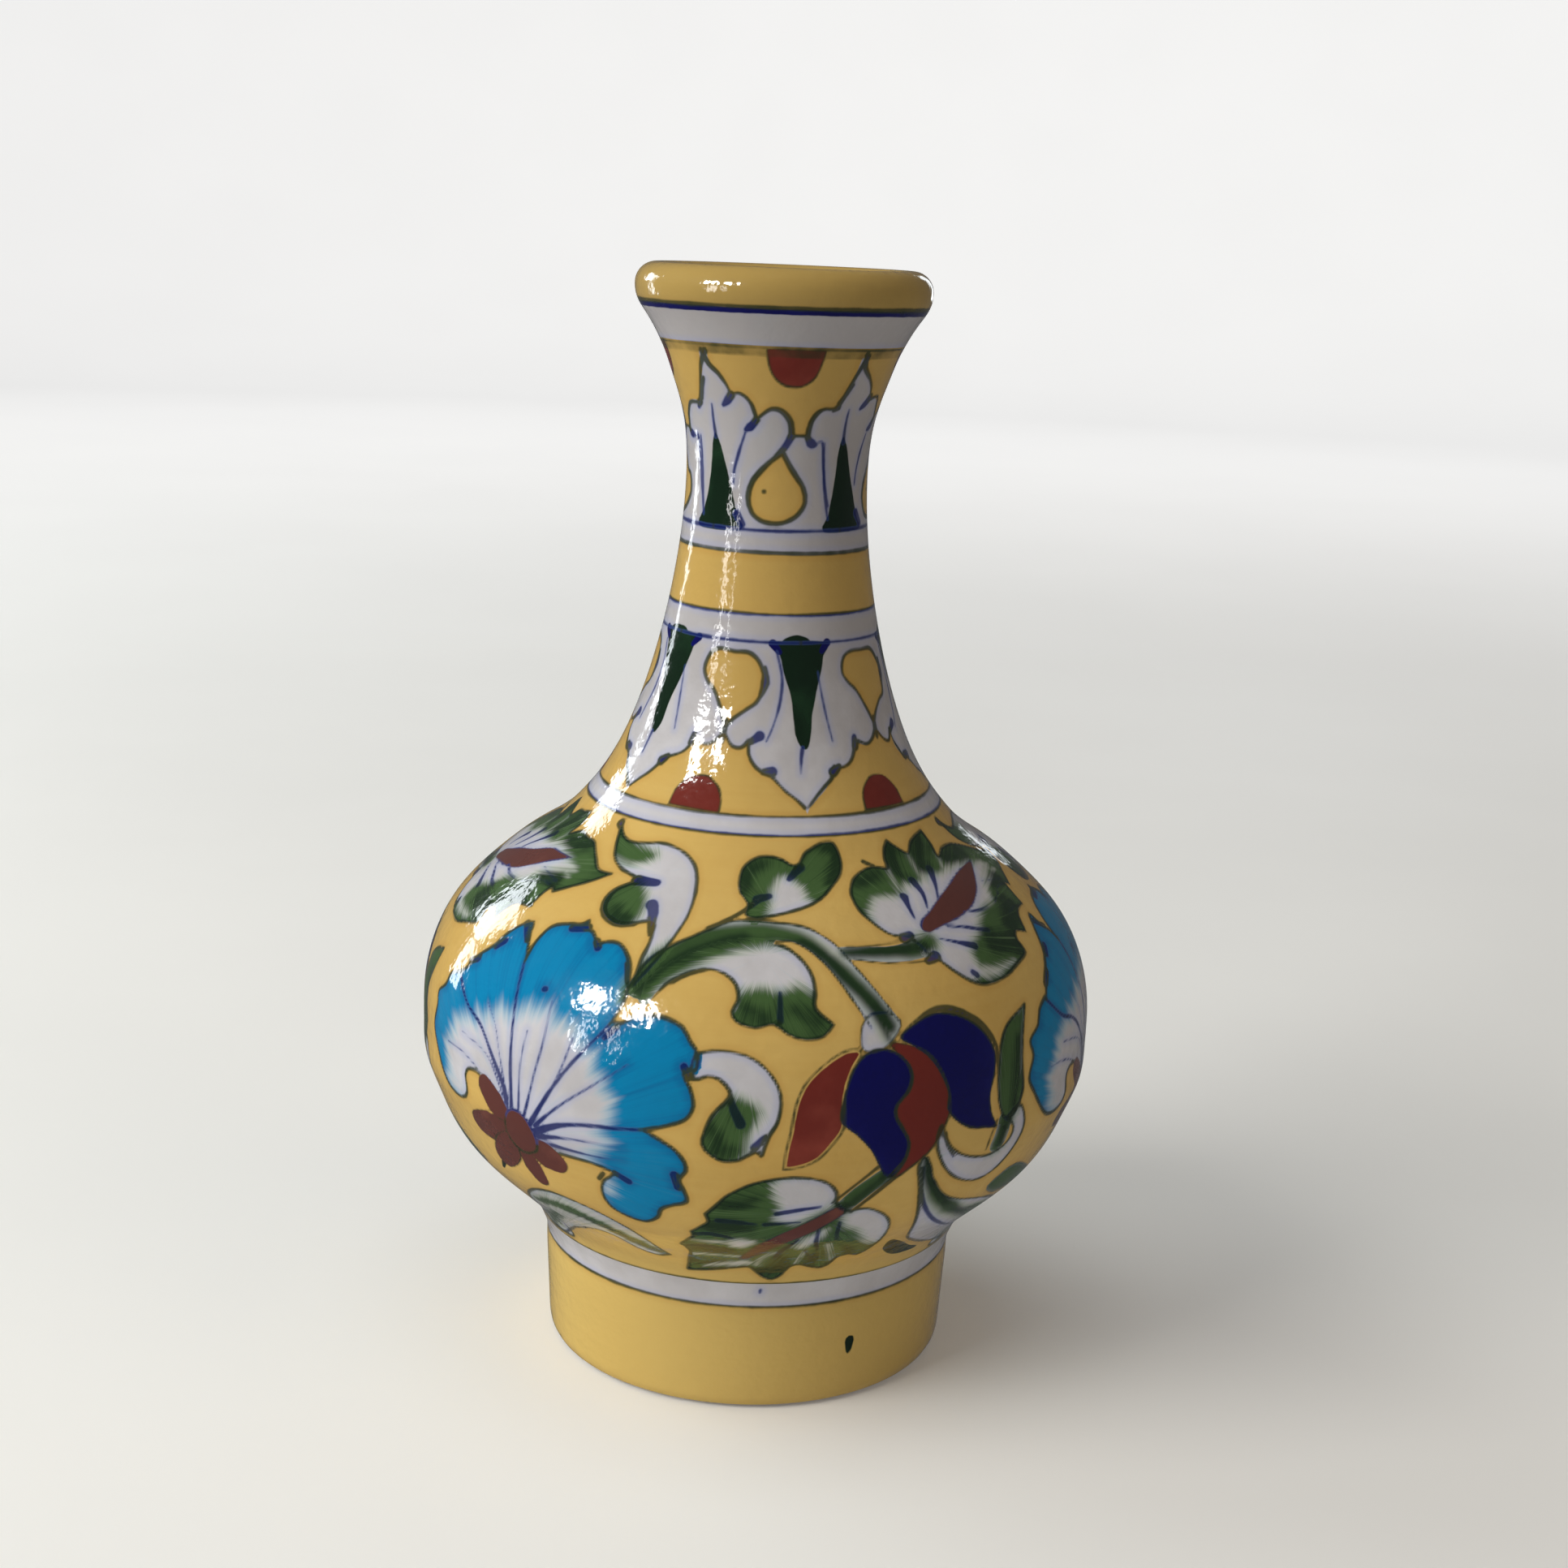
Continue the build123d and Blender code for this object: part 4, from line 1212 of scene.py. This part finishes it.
def green_wash(n):
    """How strong the leaf green is, and its colour: deeper by the outlines and in the shaded strokes."""
    streaks = n.plus(n.times(n.broad_streaks, 1.4), n.times(n.fine_streaks, 1.6))
    spread = n.plus(n.distance("green"), n.times(streaks, 1.6), n.times(n.wide_noise, 1.2))
    strength = n.ramp(spread, -0.8, 2.2, 1.0, 0.0)
    pooled = n.ramp(n.distance("line"), 0.0, 1.8, 0.25, 0.0)
    shade = n.ramp(n.distance("shade"), -1.6, 2.0, 0.8, 0.0)
    depth = n.plus(n.times(streaks, 0.8), pooled, shade, n.times(n.wide_noise, 0.5))
    wash = n.mix(n.ramp(depth, 0.0, 0.9), LEAF, DEEP_LEAF)
    wash = n.mix(n.ramp(streaks, -0.15, -0.85, 0.0, 0.55), wash, PALE_LEAF)
    return strength, n.mix(n.ramp(strength, 0.15, 0.9), PALE_LEAF, wash)


def cobalt_line(n, greened):
    """How strong the outlines are, and their ink: olive over the yellow, blackish over the green."""
    pressure = n.times(n.noise(90, 2), 0.4)
    distance = n.plus(n.distance("line"), n.edge_noise, pressure)
    strength = n.times(n.ramp(distance, -0.24, 0.2, 1.0, 0.0), n.ramp(n.wide_noise, -0.4, 0.3, 1.0, 0.85))
    ink = n.mix(n.ramp(distance, -0.3, 0.05), COBALT, DILUTE_COBALT)
    outer_half = n.ramp(n.distance("white"), -1.3, -0.55)
    over_yellow = n.times(outer_half, n.ramp(n.distance("line"), -0.8, -0.45))
    ink = n.mix(over_yellow, ink, OLIVE)
    return strength, n.mix(n.times(greened, 0.85), ink, DARK_GREEN)


def painted_glaze():
    """The painting under its clear glaze."""
    n = Nodes("painted_glaze")
    n.edge_noise = n.times(n.noise(420, 3), 0.25)
    n.wide_noise = n.noise(120, 3)
    n.cloud = n.noise(28, 4)
    n.broad_streaks, n.fine_streaks = fan_streaks(n)

    on_white = painted_edge(n, "white")
    paint = n.mix(on_white, yellow_ground(n), white_slip(n))
    strength, wash = turquoise_wash(n)
    paint = n.mix(n.times(strength, on_white), paint, wash)
    strength, wash = green_wash(n)
    greened = n.times(strength, on_white)
    paint = n.mix(greened, paint, wash)
    for name, thick, worn in BODY_COLOURS:
        fill = n.mix(n.ramp(n.plus(n.wide_noise, n.cloud), 0.0, 0.45), thick, worn)
        paint = n.mix(painted_edge(n, name), paint, fill)
    strength, ink = cobalt_line(n, greened)
    paint = n.mix(strength, paint, ink)

    n.surface.inputs["IOR"].default_value = 1.5
    thrown = n.bump(n.noise(1, 2, n.stretched((25, 25, 260))), 0.25, 0.0006)
    peel = n.bump(n.noise(430, 2), 0.42, 0.0003, thrown)
    return n.finish(paint, n.ramp(n.wide_noise, -0.35, 0.35, 0.06, 0.12), peel)


def bare_dough(name, base, dust):
    """The unglazed quartz dough: chalky, sandy, pitted and stained by handling."""
    n = Nodes(name)
    grain = n.noise(1500, 4)
    stained = n.mix(n.ramp(n.noise(60, 4), -0.25, 0.25), base, dust)
    pitted = n.mix(n.ramp(grain, 0.08, 0.2, 0.0, 0.35), stained, PIT)
    turned = n.bump(n.noise(1, 3, n.stretched((40, 40, 500))), 0.4, 0.0006)
    return n.finish(pitted, n.ramp(grain, -0.3, 0.3, 0.75, 0.95), n.bump(grain, 0.5, 0.0004, turned))


def poured_coat():
    """The inside coat: poured slip under thin glaze, with runs down the wall."""
    n = Nodes("inner_glaze")
    runs = n.noise(1, 3, n.stretched((260, 260, 14)))
    cloud = n.noise(40, 4)
    base = n.mix(n.ramp(n.plus(runs, cloud), -0.3, 0.4), POURED_SLIP, STAINED_SLIP)
    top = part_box("inner_coat")[1][2]
    lapped = n.plus(n.height(), n.times(runs, 0.006))
    base = n.mix(n.ramp(lapped, top - 0.006, top - 0.002), base, DEEP_YELLOW)
    relief = n.bump(n.noise(1, 3, n.stretched((50, 50, 420))), 0.5, 0.0008)
    return n.finish(base, n.ramp(cloud, -0.3, 0.3, 0.18, 0.4), relief)


def slip_coat():
    """The white slip, which shows only at the edge of the glaze on the foot."""
    n = Nodes("slip")
    grain = n.noise(900, 3)
    base = n.mix(n.ramp(grain, -0.2, 0.3), WHITE, DUSTY_SLIP)
    return n.finish(base, n.ramp(grain, -0.3, 0.3, 0.5, 0.8), n.bump(grain, 0.4, 0.0003))


# ---------------------------------------------------------------- building

def paint_vase():
    glaze = painted_glaze()
    belly = belly_band()
    middle = len(belly.rises) // 2
    skin("foot_painting", foot_band(), 0, None, glaze)
    skin("lower_belly_painting", belly, 0, middle, glaze)
    skin("upper_belly_painting", belly, middle, None, glaze)
    skin("lower_frieze_painting", lower_frieze_band(), 0, None, glaze)
    skin("upper_frieze_painting", upper_frieze_band(), 0, None, glaze)
    skin("mouth_painting", mouth_band(), 0, None, glaze)


def finish_cad_nodes():
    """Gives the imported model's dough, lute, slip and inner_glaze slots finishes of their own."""
    finishes = {
        "dough": bare_dough("dough", DOUGH, DUSTY_DOUGH),
        "lute": bare_dough("lute", LUTE, DUSTY_LUTE),
        "slip": slip_coat(),
        "inner_glaze": poured_coat(),
    }
    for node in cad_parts.values():
        for slot in node.material_slots:
            name = slot.material.name.split(".")[0] if slot.material else None
            if name in finishes:
                slot.material = finishes[name]


# ---------------------------------------------------------------- stage

# The camera stands in front of the vase. These are in metres, degrees and, for the lens, millimetres.
CAMERA_DISTANCE = 0.4098
CAMERA_HEIGHT = 0.2054
CAMERA_PITCH = 13.54
CAMERA_YAW = 0.50
CAMERA_ROLL = 2.40
LENS = 52.40


def turned_sheet(name, section):
    """A sheet turned round the vase's axis. Its section is a list of radii and heights in metres."""
    around = 96
    points = []
    for radius, height in section:
        for i in range(around):
            turn = 2 * math.pi * i / around
            points.append((radius * math.cos(turn), radius * math.sin(turn), height))
    faces = []
    for start in range(0, len(points) - around, around):
        for i in range(around):
            beside = (i + 1) % around
            faces.append((start + i, start + around + i, start + around + beside, start + beside))
    mesh = bpy.data.meshes.new(name)
    mesh.from_pydata(points, [], faces)
    mesh.shade_smooth()
    sheet = bpy.data.objects.new(name, mesh)
    bpy.context.scene.collection.objects.link(sheet)
    return sheet


def glowing_studio_paper():
    """Pale paper that glows as painted light, more and more as it gets further from the vase."""
    n = Nodes("glowing_studio_paper")
    x, y, _ = n.xyz()
    distance = n.math("SQRT", n.plus(n.times(x, x), n.times(y, y)))
    n.set(n.surface.inputs["Base Color"], n.mix(n.ramp(n.noise(6, 3), -0.3, 0.3), PAPER, SHADED_PAPER))
    n.surface.inputs["Roughness"].default_value = 0.7
    # Painted light: the paper glows, faintly near the vase and more further out, and the near floor's glow
    # lights the vase.
    n.surface.inputs["Emission Color"].default_value = (1.0, 1.0, 1.0, 1.0)
    n.set(n.surface.inputs["Emission Strength"], n.ramp(distance, 0.2, 2.2, 0.08, 0.56))
    return n.material


def studio_sweep():
    """A round pale floor whose far part curves up into a wall all round the vase.

    The near floor throws light back at the vase, with a faint painted glow of its own. The far part is only
    there to be seen."""
    middle, near, floor_radius, bend, top = 0.0005, 0.5, 2.4, 0.8, 2.6
    bend_steps = 12
    wall = [(near, 0.0), (floor_radius, 0.0)]
    for step in range(1, bend_steps + 1):
        turn = math.radians(90 * step / bend_steps)
        wall.append((floor_radius + bend * math.sin(turn), bend * (1 - math.cos(turn))))
    wall.append((floor_radius + bend, top))
    paper = glowing_studio_paper()
    for name, section in (("near_floor", [(middle, 0.0), (near, 0.0)]), ("far_sweep", wall)):
        sheet = turned_sheet(name, section)
        sheet.data.materials.append(paper)
        sheet.visible_glossy = False
        sheet.visible_diffuse = name == "near_floor"


DAYLIGHT = (1.0, 0.99, 0.97)
SKYLIGHT = (0.9, 0.96, 1.0)
# Each light's name, its azimuth and elevation from the camera's side, its distance, its width and
# height, its brightness and its colour.
SOFTBOXES = (
    ("key", -60, 33, 1.5, (0.9, 0.9), 7.1, (1.0, 0.98, 0.92)),
    ("sky", -110, 28, 1.5, (0.9, 0.9), 3.0, (0.92, 1.0, 1.0)),
    ("ceiling", 0, 80, 1.5, (0.9, 0.9), 1.6, (1.0, 1.0, 0.96)),
    ("warm_wall", 70, 40, 1.5, (0.9, 0.9), 0.8, (1.0, 0.74, 0.45)),
)
BACKDROP_LIGHT = ("backdrop_light", 180, 60, 1.9, (2.4, 0.6), 3.5, (1.0, 1.0, 1.0))
WINDOWS = (
    ("front_upper_pane", -61, 28, 0.9, (0.13, 0.2), 42, DAYLIGHT),
    ("front_middle_pane", -42, 29, 0.9, (0.12, 0.16), 48, DAYLIGHT),
    ("front_lower_pane", -57, 8, 0.8, (0.05, 0.28), 13, DAYLIGHT),
    ("front_lower_strip", -46, 8, 0.8, (0.025, 0.28), 13, DAYLIGHT),
    ("right_pane", 160, 14, 0.8, (0.12, 0.3), 2.5, SKYLIGHT),
    ("side_upper_pane", -126, 20, 0.8, (0.2, 0.22), 9, SKYLIGHT),
    ("side_lower_pane", -120, 2, 0.75, (0.08, 0.22), 8, SKYLIGHT),
)
LIGHTS_AIM = Vector((0, 0, 0.1))


def area_light(name, azimuth, elevation, distance, size, brightness, tint):
    """A rectangular light aimed at the vase."""
    light = bpy.data.lights.new(name, "AREA")
    light.shape = "RECTANGLE"
    light.size, light.size_y = size
    light.energy = brightness * math.pi * size[0] * size[1]
    light.color = tint
    lamp = bpy.data.objects.new(name, light)
    turn = math.radians(azimuth)
    rise = math.radians(elevation)
    away = Vector((math.cos(rise) * math.sin(turn), -math.cos(rise) * math.cos(turn), math.sin(rise)))
    lamp.location = LIGHTS_AIM + distance * away
    lamp.rotation_euler = away.to_track_quat("Z", "Y").to_euler()
    bpy.context.scene.collection.objects.link(lamp)
    return lamp


def lighting():
    """Soft light that shades the vase, and windows that only its gloss shows."""
    world = bpy.data.worlds.new("studio")
    world.use_nodes = True
    background = world.node_tree.nodes["Background"]
    background.inputs["Color"].default_value = (0.95, 0.97, 1.0, 1)
    background.inputs["Strength"].default_value = 0.1
    bpy.context.scene.world = world
    for row in SOFTBOXES:
        area_light(*row).visible_glossy = False
    backdrop_light = area_light(*BACKDROP_LIGHT)
    backdrop_light.rotation_euler = (math.radians(60), 0, 0)
    backdrop_light.visible_glossy = False
    for row in WINDOWS:
        area_light(*row).visible_diffuse = False


def camera():
    data = bpy.data.cameras.new("camera")
    data.lens = LENS
    data.sensor_width = 36
    data.clip_start = 0.01
    view = bpy.data.objects.new("camera", data)
    turn = (
        Matrix.Rotation(math.radians(-CAMERA_YAW), 4, "Z")
        @ Matrix.Rotation(math.radians(90 - CAMERA_PITCH), 4, "X")
        @ Matrix.Rotation(math.radians(CAMERA_ROLL), 4, "Z")
    )
    view.matrix_world = Matrix.Translation((0, -CAMERA_DISTANCE, CAMERA_HEIGHT)) @ turn
    bpy.context.scene.collection.objects.link(view)
    bpy.context.scene.camera = view


finish_cad_nodes()
paint_vase()
studio_sweep()
lighting()
camera()
bpy.context.scene.view_settings.view_transform = "Standard"
